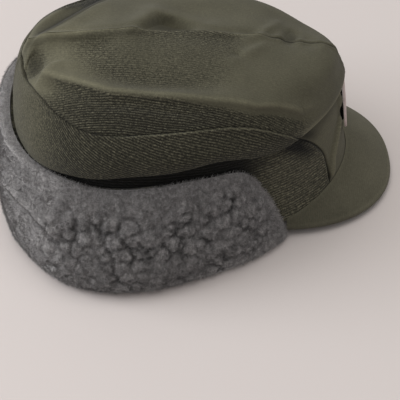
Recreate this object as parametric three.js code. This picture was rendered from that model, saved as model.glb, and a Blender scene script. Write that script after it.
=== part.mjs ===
// Winter field cap: soft two-piece crown, crescent side panels, band, visor and a pile-faced ear flap turned up.
// Millimetres. +Z is up, the visor points to -Y, the wearer's right side is -X.
// In the tables "forward" runs from the back of the cap to the visor and "side" from the middle seam outwards.
import * as THREE from 'three';

// Driving sizes
const CLOTH = 2.0;             // thickness of the wool twill walls
const GAP = 0.3;               // clearance between neighbouring pieces
const MIDDLE = -2.3;           // forward position of the middle of the whole cap
const VISOR_THICK = 2.8;       // cloth-covered board
const VISOR_FRONT = 137.5;     // forward position of the visor's tip
const VISOR_HALF_WIDTH = 69;
const VISOR_CENTRE = 52.5;      // forward position where the visor is widest
const VISOR_SQUARENESS = 2.25;
const VISOR_TIP_HEIGHT = 5.6;  // top face over the table
const VISOR_CORNER_HEIGHT = 9.0;
const VISOR_DOME = 2.2;        // how far the visor bulges between band and rim
const VISOR_END_ANGLE = 49.2;  // degrees round the band from the front
const BADGE_RADIUS = 17;
const BADGE_THICK = 2.1;
const BADGE_LEVEL = 0.53;      // part of the band's height at the badge's middle
const BADGE_LEAN = 7;          // degrees that its face leans back, less than the band does
const BADGE_TURN = 5;          // degrees that its face is turned to the wearer's right
const BACKING_RADIUS = 12.2;
const BACKING_THICK = 1.4;     // at its middle, thinner below and thicker where the band falls away
const PILE_TOP = 72.5;         // height of the flap's upper edge over the table
const COLUMNS = {crown: 8, yoke: 28, band: 24, front: 14, visor: 28, flap: 45};
const ROWS = {crown: 11, yoke: 5, band: 4, visor: 5, flap: 11};

// Rings of the crown, from the middle seam outwards and down to the lower edge.
// Each is an oval: half width, forward ends, where it is widest, heights and squareness.
const CROWN_RINGS = [
  {half: 0,    front: 80,  widest: -24, back: -111, highFront: 118, highSide: 131, highBack: 126, squareFront: 2.0, squareBack: 2.2},
  {half: 28,   front: 84,  widest: -24, back: -114, highFront: 117.5, highSide: 125, highBack: 121, squareFront: 2.2, squareBack: 2.3},
  {half: 54,   front: 90,  widest: -26, back: -117, highFront: 111.5, highSide: 117, highBack: 113, squareFront: 2.25, squareBack: 2.4},
  {half: 73,   front: 94,  widest: -32, back: -121, highFront: 101.5, highSide: 105, highBack: 102, squareFront: 1.96, squareBack: 2.5},
  {half: 83.5, front: 96.5, widest: -36, back: -125, highFront: 91, highSide: 91,  highBack: 86,  squareFront: 1.95, squareBack: 2.5},
  {half: 83,   front: 96.5, widest: -38, back: -124.5, highFront: 82, highSide: 79, highBack: 70, squareFront: 1.95, squareBack: 2.5},
];
const EDGE_RING = CROWN_RINGS.length - 1;
// Where the rolled-under edge ends on the band, as a part of the band's height.
const TUCK_LEVEL = 0.93;
const TUCK_GAP = 1.0;
// How far the crown's lower edge and the band's top stand higher at an angle from the front.
const EDGE_RISES = [
  {angle: 0,   rise: 7.0},
  {angle: 15,  rise: 6.5},
  {angle: 25,  rise: 6.0},
  {angle: 32,  rise: 4.0},
  {angle: 37,  rise: 2.0},
  {angle: 42,  rise: 0.3},
  {angle: 50,  rise: 0.0},
  {angle: 57,  rise: 1.2},
  {angle: 63,  rise: 4.5},
  {angle: 69,  rise: 7.0},
  {angle: 75,  rise: 6.6},
  {angle: 82,  rise: 5.0},
  {angle: 90,  rise: 3.2},
  {angle: 100, rise: 1.0},
  {angle: 110, rise: 0.0},
  {angle: 180, rise: 0.0},
];
const EDGE_SHARE = 0.4;        // part of that rise that reaches the ring above the edge

// The band under the crown, from its foot to its top edge.
const BAND_RINGS = [
  {half: 88, front: 103, widest: -38, back: -120, highFront: 25, highSide: 11, highBack: 12, squareFront: 2.0, squareBack: 2.5},
  {half: 77, front: 92,  widest: -38, back: -117, highFront: 84, highSide: 80, highBack: 72, squareFront: 2.0, squareBack: 2.5},
];
const FOOT_LIFT_POWER = 4;     // how late the foot rises towards the visor

// Seam between the top pieces and the crescent side panels: angle from the front, ring level.
const CRESCENT_SEAM = [
  {angle: 0,   level: 6.0},
  {angle: 39,  level: 6.0},
  {angle: 42,  level: 5.0},
  {angle: 46,  level: 4.2},
  {angle: 54,  level: 3.5},
  {angle: 64,  level: 3.05},
  {angle: 74,  level: 2.9},
  {angle: 90,  level: 2.9},
  {angle: 102, level: 2.95},
  {angle: 114, level: 2.9},
  {angle: 128, level: 2.65},
  {angle: 143, level: 2.3},
  {angle: 160, level: 2.05},
  {angle: 180, level: 1.95},
];
const YOKE_TIP_ANGLE = 40.6;

// Seam between the front panel and the side bands: part of the band's height, angle from the front.
const BAND_SEAM = [
  {level: 0.0,  angle: 26.5},
  {level: 0.25, angle: 27},
  {level: 0.45, angle: 28.5},
  {level: 0.62, angle: 31.8},
  {level: 0.76, angle: 35.6},
  {level: 0.88, angle: 39.7},
  {level: 1.0,  angle: 44},
];

// Dents (negative) and swells of the soft crown: place, depth and how far they spread. Side is + on the right.
const CROWN_DENTS = [
  {forward: 36,   side: 2,   depth: -4.5, long: 26, wide: 14},
  {forward: -16,  side: -17, depth: -7.0, long: 14, wide: 11},
  {forward: 15,   side: -26, depth: -3.0, long: 22, wide: 12},
  {forward: -108, side: 15,  depth: -5.0, long: 9,  wide: 9},
  {forward: 80,   side: -28, depth: -8.5, long: 24, wide: 21},
];
// Long soft folds of the crown (negative for a hollow): the places they run through, height and breadth.
const CROWN_FOLDS = [
  {rise: 4.0,  breadth: 7, line: [[-102, 27], [-80, 40], [-58, 48], [-33, 52], [-2, 55], [32, 56], [62, 52], [80, 42]]},
  {rise: -3.0, breadth: 8, line: [[-84, 9], [-68, 19], [-57, 29], [-45, 37], [-28, 42], [0, 44]]},
  {rise: 2.0,  breadth: 7, line: [[-106, 0], [-50, 0]]},
  {rise: 3.0,  breadth: 7, line: [[-42, -4], [-24, -36]]},
  {rise: 5.0,  breadth: 6, line: [[-113, 5], [-105, 0], [-91, -13], [-67, -42], [-55, -58]]},
  {rise: -5.0, breadth: 8, line: [[-112, -14], [-99, -30], [-78, -55], [-66, -66]]},
  {rise: 2.0,  breadth: 7, line: [[26, 20], [42, 6], [58, -10]]},
];

// Section of the turned-up flap: distance out from the band and height, for a full-height place.
const FLAP_CLOTH_LINE = [
  {out: 1.8,  high: 14},
  {out: 6.5,  high: 10},
  {out: 12,   high: 9.5},
  {out: 16,   high: 14},
  {out: 16.5, high: 26},
  {out: 12,   high: 44},
  {out: 5.5,  high: 60},
  {out: 2.0,  high: 70.5},
];
const FLAP_PILE_LINE = [
  {out: 0.2,  high: 9},
  {out: 3,    high: 3.0},
  {out: 9,    high: 0},
  {out: 24,   high: 0},
  {out: 28.6, high: 5},
  {out: 30,   high: 13},
  {out: 29,   high: 26},
  {out: 23.5, high: 43},
  {out: 15.5, high: 58},
  {out: 9.5,  high: 68},
  {out: 6,    high: 72},
  {out: 3.6,  high: 72.4},
];
// Along the flap: angle from the front, how far it swells out, how high it stands, how much its top leans out
// and how much thicker the pile is there.
const FLAP_STATIONS = [
  {angle: 49.6, reach: 0.10, rise: 0.13, lean: 0, plump: 0},
  {angle: 50.4, reach: 0.14, rise: 0.22, lean: 0, plump: 0},
  {angle: 51.8, reach: 0.18, rise: 0.35, lean: 0, plump: 0},
  {angle: 53.8, reach: 0.23, rise: 0.54, lean: 0, plump: 0},
  {angle: 56.4, reach: 0.29, rise: 0.71, lean: 0, plump: 0},
  {angle: 59.5, reach: 0.36, rise: 0.88, lean: 0, plump: 0},
  {angle: 63.5, reach: 0.43, rise: 0.98, lean: 0, plump: 0},
  {angle: 70.0, reach: 0.53, rise: 1.0,  lean: 0, plump: 0},
  {angle: 78.0, reach: 0.66, rise: 1.0,  lean: 0, plump: 0},
  {angle: 90.0, reach: 0.90, rise: 0.97, lean: 0, plump: 0},
  {angle: 102.0, reach: 0.99, rise: 0.95, lean: 0, plump: 0},
  {angle: 120.0, reach: 0.96, rise: 0.96, lean: 1, plump: 0},
  {angle: 135.0, reach: 0.83, rise: 0.97, lean: 3, plump: 1.5},
  {angle: 150.0, reach: 0.72, rise: 0.99, lean: 6, plump: 4},
  {angle: 165.0, reach: 0.68, rise: 1.01, lean: 8, plump: 5},
  {angle: 180.0, reach: 0.66, rise: 1.02, lean: 9, plump: 5.5},
];

const radians = (angle) => angle * Math.PI / 180;
const degrees = (angle) => angle * 180 / Math.PI;
const mix = (a, b, t) => a + (b - a) * t;
const clamp = (x, low, high) => Math.min(high, Math.max(low, x));

// Value of one column of a table at a place, rounded off between rows.
function lookUpSmooth(table, key, place, column) {
  let row = 1;
  while (row < table.length - 1 && table[row][key] < place) row += 1;
  const a = table[row - 1];
  const b = table[row];
  const span = b[key] - a[key];
  const t = clamp((place - a[key]) / span, 0, 1);
  const slope = (i) => {
    const low = table[Math.max(0, i - 1)];
    const high = table[Math.min(table.length - 1, i + 1)];
    return (high[column] - low[column]) / (high[key] - low[key]);
  };
  const t2 = t * t;
  const t3 = t2 * t;
  return (2 * t3 - 3 * t2 + 1) * a[column] + (t3 - 2 * t2 + t) * span * slope(row - 1)
    + (3 * t2 - 2 * t3) * b[column] + (t3 - t2) * span * slope(row);
}

// Smooth curve through the rows of a table of points, at part 0 to 1 of its rows.
function alongPoints(points, part) {
  const last = points.length - 1;
  const at = clamp(part, 0, 1) * last;
  const row = Math.min(Math.floor(at), last - 1);
  const t = at - row;
  const p1 = points[row];
  const p2 = points[row + 1];
  const p0 = row > 0 ? points[row - 1] : p1.map((value, k) => 2 * value - p2[k]);
  const p3 = row < last - 1 ? points[row + 2] : p2.map((value, k) => 2 * value - p1[k]);
  return p1.map((value, k) => 0.5 * (2 * value + (p2[k] - p0[k]) * t
    + (2 * p0[k] - 5 * value + 4 * p2[k] - p3[k]) * t * t
    + (3 * value - p0[k] - 3 * p2[k] + p3[k]) * t * t * t));
}

// Point of an oval ring at an angle from the front: forward, side, height.
function ringPoint(ring, angle, liftPower = 2) {
  const c = Math.cos(angle);
  const s = Math.sin(angle);
  const square = c > 0 ? ring.squareFront : ring.squareBack;
  const along = Math.pow(Math.abs(c), 2 / square);
  const across = Math.sign(s) * Math.pow(Math.abs(s), 2 / square);
  const end = c > 0 ? ring.front : ring.back;
  const forward = mix(ring.widest, end, along);
  const lift = Math.pow(Math.abs(c), c > 0 ? liftPower : 2);
  const high = mix(ring.highSide, c > 0 ? ring.highFront : ring.highBack, lift);
  return [forward, ring.half * across, high];
}

// How far the crown's lower edge stands higher at an angle, the same on both sides.
function edgeRise(angle) {
  const fromFront = Math.acos(clamp(Math.cos(angle), -1, 1));
  return lookUpSmooth(EDGE_RISES, 'angle', degrees(fromFront), 'rise');
}

// Outer face of the band: angle from the front, level 0 at the foot to 1 at the top.
function bandPoint(angle, level) {
  const foot = ringPoint(BAND_RINGS[0], angle, FOOT_LIFT_POWER);
  const top = ringPoint(BAND_RINGS[1], angle);
  top[2] += edgeRise(angle);
  return foot.map((value, k) => mix(value, top[k], level));
}

// Level direction straight out of the band at an angle from the front.
function bandOut(angle) {
  const step = 0.01;
  const a = ringPoint(BAND_RINGS[0], angle - step);
  const b = ringPoint(BAND_RINGS[0], angle + step);
  const length = Math.hypot(b[0] - a[0], b[1] - a[1]);
  return [(b[1] - a[1]) / length, -(b[0] - a[0]) / length];
}

// How far the crown's top is pushed up or down at a place.
function crownRelief(forward, side) {
  let change = 0;
  for (const dent of CROWN_DENTS) {
    const along = (forward - dent.forward) / dent.long;
    const across = (side - dent.side) / dent.wide;
    change += dent.depth * Math.exp(-0.5 * (along * along + across * across));
  }
  for (const fold of CROWN_FOLDS) {
    const near = nearestOn(fold.line, forward, side);
    const away = near.away / fold.breadth;
    change += fold.rise * Math.sin(Math.PI * mix(0.12, 0.88, near.part)) * Math.exp(-0.5 * away * away);
  }
  return change;
}

// How far a place is from a line of places, and at which part of its length the line comes nearest.
function nearestOn(line, forward, side) {
  const pieces = line.slice(1).map((end, k) => {
    const start = line[k];
    const run = [end[0] - start[0], end[1] - start[1]];
    const length = Math.hypot(run[0], run[1]);
    const along = ((forward - start[0]) * run[0] + (side - start[1]) * run[1]) / length;
    const at = clamp(along, 0, length);
    const away = Math.hypot(forward - start[0] - at * run[0] / length, side - start[1] - at * run[1] / length);
    return {length, at, away};
  });
  const total = pieces.reduce((sum, piece) => sum + piece.length, 0);
  const away = Math.min(...pieces.map((piece) => piece.away));
  const nearest = pieces.findIndex((piece) => piece.away === away);
  const before = pieces.slice(0, nearest).reduce((sum, piece) => sum + piece.length, 0);
  return {away, part: (before + pieces[nearest].at) / total};
}

// Outer face of the crown: angle from the front, level 0 at the middle seam to 6 where it is tucked on the band.
function crownPoint(angle, level, hand) {
  const rows = CROWN_RINGS.map((ring) => ringPoint(ring, angle));
  const rise = edgeRise(angle);
  rows[EDGE_RING][2] += rise;
  rows[EDGE_RING - 1][2] += rise * EDGE_SHARE;
  const out = bandOut(angle);
  const tuck = bandPoint(angle, TUCK_LEVEL);
  rows.push([tuck[0] + out[0] * TUCK_GAP, tuck[1] + out[1] * TUCK_GAP, tuck[2]]);
  const point = alongPoints(rows, level / (rows.length - 1));
  const fade = clamp((4.2 - level) / 1.6, 0, 1);
  point[2] += crownRelief(point[0], hand * point[1]) * fade;
  return point;
}

// World position of forward, side, height on one hand (+1 right, -1 left).
const place = (point, hand) => [-hand * point[1], MIDDLE - point[0], point[2]];

function addMaterial(color, roughness) {
  return new THREE.MeshStandardMaterial({color, roughness, metalness: 0});
}
const TWILL = addMaterial(0x4a5045, 0.92);
const PILE = addMaterial(0x6a6e72, 1.0);
const BLACK = addMaterial(0x101012, 0.9);
const PLATE = addMaterial(0xc9b3ad, 0.45);

function meshFrom(name, points, triangles, material) {
  const geometry = new THREE.BufferGeometry();
  geometry.setAttribute('position', new THREE.Float32BufferAttribute(points.flat(), 3));
  geometry.setIndex(triangles.flat());
  geometry.computeVertexNormals();
  const mesh = new THREE.Mesh(geometry, material);
  mesh.name = name;
  return mesh;
}

// Closed wall: an outer grid of points, an inner grid behind it and the four edges between them.
function wallMesh(name, outer, inner, material) {
  const columns = outer.length;
  const rows = outer[0].length;
  const points = [...outer.flat(), ...inner.flat()];
  const shift = columns * rows;
  const at = (i, j) => i * rows + j;
  const triangles = [];
  const quad = (a, b, c, d) => triangles.push([a, b, c], [a, c, d]);
  for (let i = 0; i < columns - 1; i += 1) {
    for (let j = 0; j < rows - 1; j += 1) {
      quad(at(i, j), at(i + 1, j), at(i + 1, j + 1), at(i, j + 1));
      quad(shift + at(i, j), shift + at(i, j + 1), shift + at(i + 1, j + 1), shift + at(i + 1, j));
    }
    const last = rows - 1;
    quad(at(i, 0), shift + at(i, 0), shift + at(i + 1, 0), at(i + 1, 0));
    quad(at(i, last), at(i + 1, last), shift + at(i + 1, last), shift + at(i, last));
  }
  for (let j = 0; j < rows - 1; j += 1) {
    const last = columns - 1;
    quad(at(0, j), at(0, j + 1), shift + at(0, j + 1), shift + at(0, j));
    quad(at(last, j), shift + at(last, j), shift + at(last, j + 1), at(last, j + 1));
  }
  return meshFrom(name, points, turnedOut(points, triangles), material);
}

// Turns every face over if the body came out inside out.
function turnedOut(points, triangles) {
  let volume = 0;
  for (const [a, b, c] of triangles) {
    const [p, q, r] = [points[a], points[b], points[c]];
    volume += p[0] * (q[1] * r[2] - q[2] * r[1]) - p[1] * (q[0] * r[2] - q[2] * r[0])
      + p[2] * (q[0] * r[1] - q[1] * r[0]);
  }
  return volume > 0 ? triangles : triangles.map(([a, b, c]) => [a, c, b]);
}

// Direction straight out of a face given as a function of two parameters.
function faceNormal(face, u, v, stepU, stepV) {
  const a = face(u - stepU, v);
  const b = face(u + stepU, v);
  const c = face(u, v - stepV);
  const d = face(u, v + stepV);
  const along = [b[0] - a[0], b[1] - a[1], b[2] - a[2]];
  const down = [d[0] - c[0], d[1] - c[1], d[2] - c[2]];
  const n = new THREE.Vector3(...down).cross(new THREE.Vector3(...along));
  return n.length() > 1e-9 ? n.normalize().toArray() : [0, 0, 1];
}

// Soft wall between two levels of the crown, over a range of angles.
function crownWall(name, hand, angles, levelTop, levelBottom, rows, material) {
  const face = (angle, level) => crownPoint(clamp(angle, 0.0, Math.PI), clamp(level, 0, 6), hand);
  const outer = [];
  const inner = [];
  for (const angle of angles) {
    const outerRow = [];
    const innerRow = [];
    for (let j = 0; j <= rows; j += 1) {
      const level = mix(levelTop(angle), levelBottom(angle), j / rows);
      const point = face(angle, level);
      const normal = faceNormal(face, angle, level, 0.02, 0.04);
      const back = level > 5.99
        ? [point[0], point[1], point[2] + CLOTH]
        : point.map((value, k) => value - CLOTH * normal[k]);
      point[1] = Math.max(point[1], GAP / 2);
      back[1] = Math.max(back[1], GAP / 2);
      outerRow.push(place(point, hand));
      innerRow.push(place(back, hand));
    }
    outer.push(outerRow);
    inner.push(innerRow);
  }
  return wallMesh(name, outer, inner, material);
}

// Angles from one to another.
function spread(from, to, count) {
  return Array.from({length: count + 1}, (_, i) => radians(mix(from, to, i / count)));
}

const seamLevel = (angle) => Math.min(6, lookUpSmooth(CRESCENT_SEAM, 'angle', degrees(angle), 'level'));
const SEAM_GAP = 0.014;        // half the seam's clearance, in ring levels
// Both sides of the crescent seam share these angles, closer together at its tip.
const SEAM_ANGLES = spread(0, 1, COLUMNS.yoke).map((_, i) => {
  const part = i / COLUMNS.yoke;
  return radians(mix(YOKE_TIP_ANGLE, 180, 0.72 * part + 0.28 * part * part));
});

function crownHalf(name, hand) {
  const angles = [...spread(0, YOKE_TIP_ANGLE, COLUMNS.crown).slice(0, -1), ...SEAM_ANGLES];
  return crownWall(name, hand, angles, () => 0,
    (angle) => seamLevel(angle) - (seamLevel(angle) < 5.99 ? SEAM_GAP : 0), ROWS.crown, TWILL);
}

function yokeHalf(name, hand) {
  return crownWall(name, hand, SEAM_ANGLES, (angle) => seamLevel(angle) + SEAM_GAP, () => 6, ROWS.yoke, TWILL);
}

// Piece of the band between two angles that may change with the level.
function bandWall(name, hand, angleFrom, angleTo, columns, rows) {
  const outer = [];
  const inner = [];
  for (let i = 0; i <= columns; i += 1) {
    const outerRow = [];
    const innerRow = [];
    for (let j = 0; j <= rows; j += 1) {
      const level = j / rows;
      const angle = mix(angleFrom(level), angleTo(level), i / columns);
      const out = bandOut(angle);
      const point = bandPoint(angle, level);
      const back = [point[0] - out[0] * CLOTH, point[1] - out[1] * CLOTH, point[2]];
      if (angleTo(level) === Math.PI) {
        point[1] = Math.max(point[1], GAP / 2);
        back[1] = Math.max(back[1], GAP / 2);
      }
      outerRow.push(place(point, hand));
      innerRow.push(place(back, hand));
    }
    outer.push(outerRow);
    inner.push(innerRow);
  }
  return wallMesh(name, outer, inner, TWILL);
}

const bandSeam = (level) => radians(lookUpSmooth(BAND_SEAM, 'level', level, 'angle'));
const SEAM_TURN = 0.0018;      // half the clearance at the band's seams, as an angle

const bandHalf = (name, hand) => bandWall(name, hand,
  (level) => bandSeam(level) + SEAM_TURN, () => Math.PI, COLUMNS.band, ROWS.band);
const bandFront = (name) => bandWall(name, 1,
  (level) => -(bandSeam(level) - SEAM_TURN), (level) => bandSeam(level) - SEAM_TURN, COLUMNS.front, ROWS.band);

// Visor: a domed, cloth-covered board from the band's foot to an oval rim.
function visorPoint(across, out) {
  const turn = across * Math.PI / 2;
  const angle = across * radians(VISOR_END_ANGLE);
  const foot = bandPoint(angle, 0);
  const away = bandOut(angle);
  const inner = [foot[0] + away[0] * 0.5, foot[1] + away[1] * 0.5, foot[2] + 2.0];
  const power = 2 / VISOR_SQUARENESS;
  const along = Math.pow(Math.cos(turn), power);
  const sideways = Math.sign(turn) * Math.pow(Math.abs(Math.sin(turn)), power);
  const rim = [mix(VISOR_CENTRE, VISOR_FRONT, along), VISOR_HALF_WIDTH * sideways,
    mix(VISOR_CORNER_HEIGHT, VISOR_TIP_HEIGHT, along)];
  const dome = VISOR_DOME * 4 * out * (1 - out) * Math.cos(turn);
  return [mix(inner[0], rim[0], out), mix(inner[1], rim[1], out), mix(inner[2], rim[2], out) + dome];
}

function visor(name) {
  const top = [];
  const bottom = [];
  const tuckIn = 0.35;
  for (let i = 0; i <= COLUMNS.visor; i += 1) {
    const across = mix(-1, 1, i / COLUMNS.visor) * 0.985;
    const topRow = [];
    const bottomRow = [];
    for (let j = 0; j <= ROWS.visor; j += 1) {
      const out = j / ROWS.visor;
      const upper = visorPoint(across, out);
      const lower = visorPoint(across, out);
      const slim = out > 0.99 ? tuckIn : 0;
      lower[2] -= VISOR_THICK - slim;
      upper[2] -= slim;
      topRow.push(place(upper, 1));
      bottomRow.push(place(lower, 1));
    }
    top.push(topRow);
    bottom.push(bottomRow);
  }
  return wallMesh(name, top, bottom, TWILL);
}

// Place on the flap: out from the band's face at a height over the table.
function flapPlace(angle, out, high) {
  const foot = bandPoint(angle, 0);
  const top = bandPoint(angle, 1);
  const level = clamp((high - foot[2]) / (top[2] - foot[2]), 0, 1);
  const base = bandPoint(angle, level);
  const away = bandOut(angle);
  return [base[0] + away[0] * out, base[1] + away[1] * out, high];
}

// Section of the cloth line or of a line beside it, for one station of the flap.
function sectionLine(table, station, steps, offset, plump = 0) {
  const nearest = 1.8;
  const rows = table.map((row) => {
    const swell = row.out > nearest ? nearest + (row.out - nearest) * station.reach : row.out;
    const part = clamp(row.high / PILE_TOP, 0, 1);
    const thick = row.out > nearest * 2 ? plump * part : 0;
    return [swell + station.lean * part * part + thick, row.high * station.rise];
  });
  const line = [];
  for (let j = 0; j <= steps; j += 1) {
    const part = j / steps;
    const point = alongPoints(rows, part);
    const before = alongPoints(rows, Math.max(0, part - 0.01));
    const after = alongPoints(rows, Math.min(1, part + 0.01));
    const length = Math.hypot(after[0] - before[0], after[1] - before[1]);
    const side = [(after[1] - before[1]) / length, -(after[0] - before[0]) / length];
    line.push([point[0] + side[0] * offset, Math.max(0, point[1] + side[1] * offset)]);
  }
  return line;
}

function stationAt(angle) {
  const folded = angle > Math.PI ? 2 * Math.PI - angle : angle;
  const station = {};
  for (const column of ['reach', 'rise', 'lean', 'plump']) {
    station[column] = lookUpSmooth(FLAP_STATIONS, 'angle', degrees(folded), column);
  }
  return station;
}

// Angles along the flap, closer together at its rounded front ends.
function flapAngles() {
  const start = FLAP_STATIONS[0].angle;
  const angles = [];
  for (let i = 0; i <= COLUMNS.flap; i += 1) {
    const t = i / COLUMNS.flap;
    const eased = t - 0.13 * Math.sin(2 * Math.PI * t);
    angles.push(radians(mix(start, 360 - start, eased)));
  }
  return angles;
}

function flapCloth(name) {
  const steps = ROWS.flap;
  const outer = [];
  const inner = [];
  for (const angle of flapAngles()) {
    const station = stationAt(angle);
    const slim = Math.min(CLOTH, 0.6 + station.rise * 2);
    const lift = (line) => line.map(([out, high]) => place(flapPlace(angle, out, high), 1));
    outer.push(lift(sectionLine(FLAP_CLOTH_LINE, station, steps, slim / 2)));
    inner.push(lift(sectionLine(FLAP_CLOTH_LINE, station, steps, -slim / 2)));
  }
  return wallMesh(name, outer, inner, TWILL);
}

function flapPile(name) {
  const steps = ROWS.flap;
  const outer = [];
  const inner = [];
  for (const angle of flapAngles()) {
    const station = stationAt(angle);
    const slim = Math.min(CLOTH, 0.6 + station.rise * 2);
    const lift = (line) => line.map(([out, high]) => place(flapPlace(angle, out, high), 1));
    outer.push(lift(sectionLine(FLAP_PILE_LINE, station, steps, 0, station.plump)));
    inner.push(lift(sectionLine(FLAP_CLOTH_LINE, station, steps, slim / 2 + GAP)));
  }
  return wallMesh(name, outer, inner, PILE);
}

// The badge's plane: its middle on the band, the direction out of it and the directions across and up in it.
function badgePlane() {
  const lean = radians(BADGE_LEAN);
  const turn = radians(BADGE_TURN);
  const [level, rise] = [Math.cos(lean), Math.sin(lean)];
  return {
    middle: bandPoint(0, BADGE_LEVEL),
    out: [level * Math.cos(turn), level * Math.sin(turn), rise],
    across: [-Math.sin(turn), Math.cos(turn), 0],
    up: [-rise * Math.cos(turn), -rise * Math.sin(turn), level],
  };
}

// Place in the badge's plane, or in front of it by a distance.
function planePoint(plane, side, up, distance) {
  return plane.middle.map((value, k) => value + plane.across[k] * side + plane.up[k] * up + plane.out[k] * distance);
}

// How far the band lies behind the badge's plane at a place on it.
function bandFall(plane, side, up) {
  const top = bandPoint(0, 1);
  let fall = 0;
  for (let pass = 0; pass < 3; pass += 1) {
    const near = planePoint(plane, side, up, -fall);
    const level = BADGE_LEVEL + (near[2] - plane.middle[2]) * (1 - BADGE_LEVEL) / (top[2] - plane.middle[2]);
    const half = mix(BAND_RINGS[0].half, BAND_RINGS[1].half, level);
    const band = bandPoint(Math.asin(near[1] / half), level);
    fall += near.reduce((sum, value, k) => sum + (value - band[k]) * plane.out[k], 0);
  }
  return fall;
}

// Round piece on the front panel between two distances from the band, flat in front.
function roundPiece(name, radius, near, far, followBand, material) {
  const plane = badgePlane();
  const steps = 8;
  const softEdge = 0.4;
  const front = [];
  const back = [];
  for (let i = 0; i <= steps; i += 1) {
    const frontRow = [];
    const backRow = [];
    for (let j = 0; j <= steps; j += 1) {
      const u = mix(-1, 1, i / steps);
      const v = mix(-1, 1, j / steps);
      const side = radius * u * Math.sqrt(1 - v * v / 2);
      const up = radius * v * Math.sqrt(1 - u * u / 2);
      const rim = Math.max(Math.abs(u), Math.abs(v)) > 0.99 ? softEdge : 0;
      frontRow.push(place(planePoint(plane, side, up, far - rim), 1));
      backRow.push(place(planePoint(plane, side, up, followBand ? near - bandFall(plane, side, up) : near), 1));
    }
    front.push(frontRow);
    back.push(backRow);
  }
  return wallMesh(name, front, back, material);
}

const cap = new THREE.Group();
cap.name = 'winter_field_cap';
cap.add(crownHalf('crown_right', 1));
cap.add(crownHalf('crown_left', -1));
cap.add(yokeHalf('yoke_right', 1));
cap.add(yokeHalf('yoke_left', -1));
cap.add(bandHalf('band_right', 1));
cap.add(bandHalf('band_left', -1));
cap.add(bandFront('band_front'));
cap.add(visor('visor'));
cap.add(flapCloth('flap_cloth'));
cap.add(flapPile('flap_pile'));
cap.add(roundPiece('badge_backing', BACKING_RADIUS, GAP, GAP + BACKING_THICK, true, BLACK));
cap.add(roundPiece('badge', BADGE_RADIUS, 2 * GAP + BACKING_THICK, 2 * GAP + BACKING_THICK + BADGE_THICK, false, PLATE));

export default cap;
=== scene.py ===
"""Looks of the winter field cap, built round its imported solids."""
import math
from collections import namedtuple

import bpy
import numpy as np
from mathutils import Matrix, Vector, noise


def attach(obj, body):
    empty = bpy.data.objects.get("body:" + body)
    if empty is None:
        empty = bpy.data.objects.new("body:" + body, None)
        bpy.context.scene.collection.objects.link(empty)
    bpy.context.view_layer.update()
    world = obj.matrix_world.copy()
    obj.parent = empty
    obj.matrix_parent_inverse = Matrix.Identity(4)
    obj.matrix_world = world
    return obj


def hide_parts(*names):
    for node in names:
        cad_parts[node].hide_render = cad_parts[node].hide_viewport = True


bl_info = {
    "name": "Winter field cap",
    "version": (1, 0, 0),
    "blender": (4, 5, 0),
    "location": "View3D > Sidebar > Cap",
    "description": "Twill field cap with a turned-up pile flap, piece by piece",
    "category": "Object",
}

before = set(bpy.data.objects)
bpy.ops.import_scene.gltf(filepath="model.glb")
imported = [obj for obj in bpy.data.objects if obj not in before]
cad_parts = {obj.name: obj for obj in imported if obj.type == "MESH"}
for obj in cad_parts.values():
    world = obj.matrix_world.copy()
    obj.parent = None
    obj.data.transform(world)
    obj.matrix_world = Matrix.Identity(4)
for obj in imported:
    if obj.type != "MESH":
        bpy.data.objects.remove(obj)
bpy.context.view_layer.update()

MM = 0.001
MIDDLE = -2.3            # forward position of the middle of the cap, mm
CLOTH = 2.0              # wall thickness of the twill, mm
HALF_GAP = 0.03          # half of the clearance between panels sewn edge to edge, mm
TURN = math.pi

# Rings of the crown, from the middle seam outwards and down to the lower edge, mm
Ring = namedtuple("Ring", "half front widest back high_front high_side high_back square_front square_back")
CROWN_RINGS = (
    Ring(0, 80, -24, -111, 118, 131, 126, 2.0, 2.2),
    Ring(28, 84, -24, -114, 117.5, 125, 121, 2.2, 2.3),
    Ring(54, 90, -26, -117, 111.5, 117, 113, 2.25, 2.4),
    Ring(73, 94, -32, -121, 101.5, 105, 102, 1.96, 2.5),
    Ring(83.5, 96.5, -36, -125, 91, 91, 86, 1.95, 2.5),
    Ring(83, 96.5, -38, -124.5, 82, 79, 70, 1.95, 2.5),
)
TUCK_LEVEL = 0.93
TUCK_GAP = 1.0
BAND_FOOT = Ring(88, 103, -38, -120, 25, 11, 12, 2.0, 2.5)
BAND_TOP = Ring(77, 92, -38, -117, 84, 80, 72, 2.0, 2.5)
FOOT_LIFT_POWER = 4

# How far the crown's lower edge and the band's top stand higher, by degrees from the front, mm
EDGE_DEGREES = (0, 15, 25, 32, 37, 42, 50, 57, 63, 69, 75, 82, 90, 100, 110, 180)
EDGE_RISES = (7.0, 6.5, 6.0, 4.0, 2.0, 0.3, 0.0, 1.2, 4.5, 7.0, 6.6, 5.0, 3.2, 1.0, 0.0, 0.0)
EDGE_SHARE = 0.4

# Seam between the top pieces and the crescent panels
SEAM_DEGREES = (0, 39, 42, 46, 54, 64, 74, 90, 102, 114, 128, 143, 160, 180)
SEAM_LEVELS = (6.0, 6.0, 5.0, 4.2, 3.5, 3.05, 2.9, 2.9, 2.95, 2.9, 2.65, 2.3, 2.05, 1.95)
SEAM_GAP = 0.004
YOKE_TIP_DEGREES = 40.6

# Seam between the front panel and the side bands
BAND_SEAM_LEVELS = (0.0, 0.25, 0.45, 0.62, 0.76, 0.88, 1.0)
BAND_SEAM_DEGREES = (26.5, 27, 28.5, 31.8, 35.6, 39.7, 44)
BAND_SEAM_TURN = 0.0018

# Slack pleats of the front panel: how far to each side they stand, mm
PLEAT_LEVELS = (0.0, 0.08, 0.19, 0.30, 0.39, 0.47, 0.54, 0.62)
PLEAT_SIDES = (38.5, 37.5, 35, 33, 29, 25, 20, 13)

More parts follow.
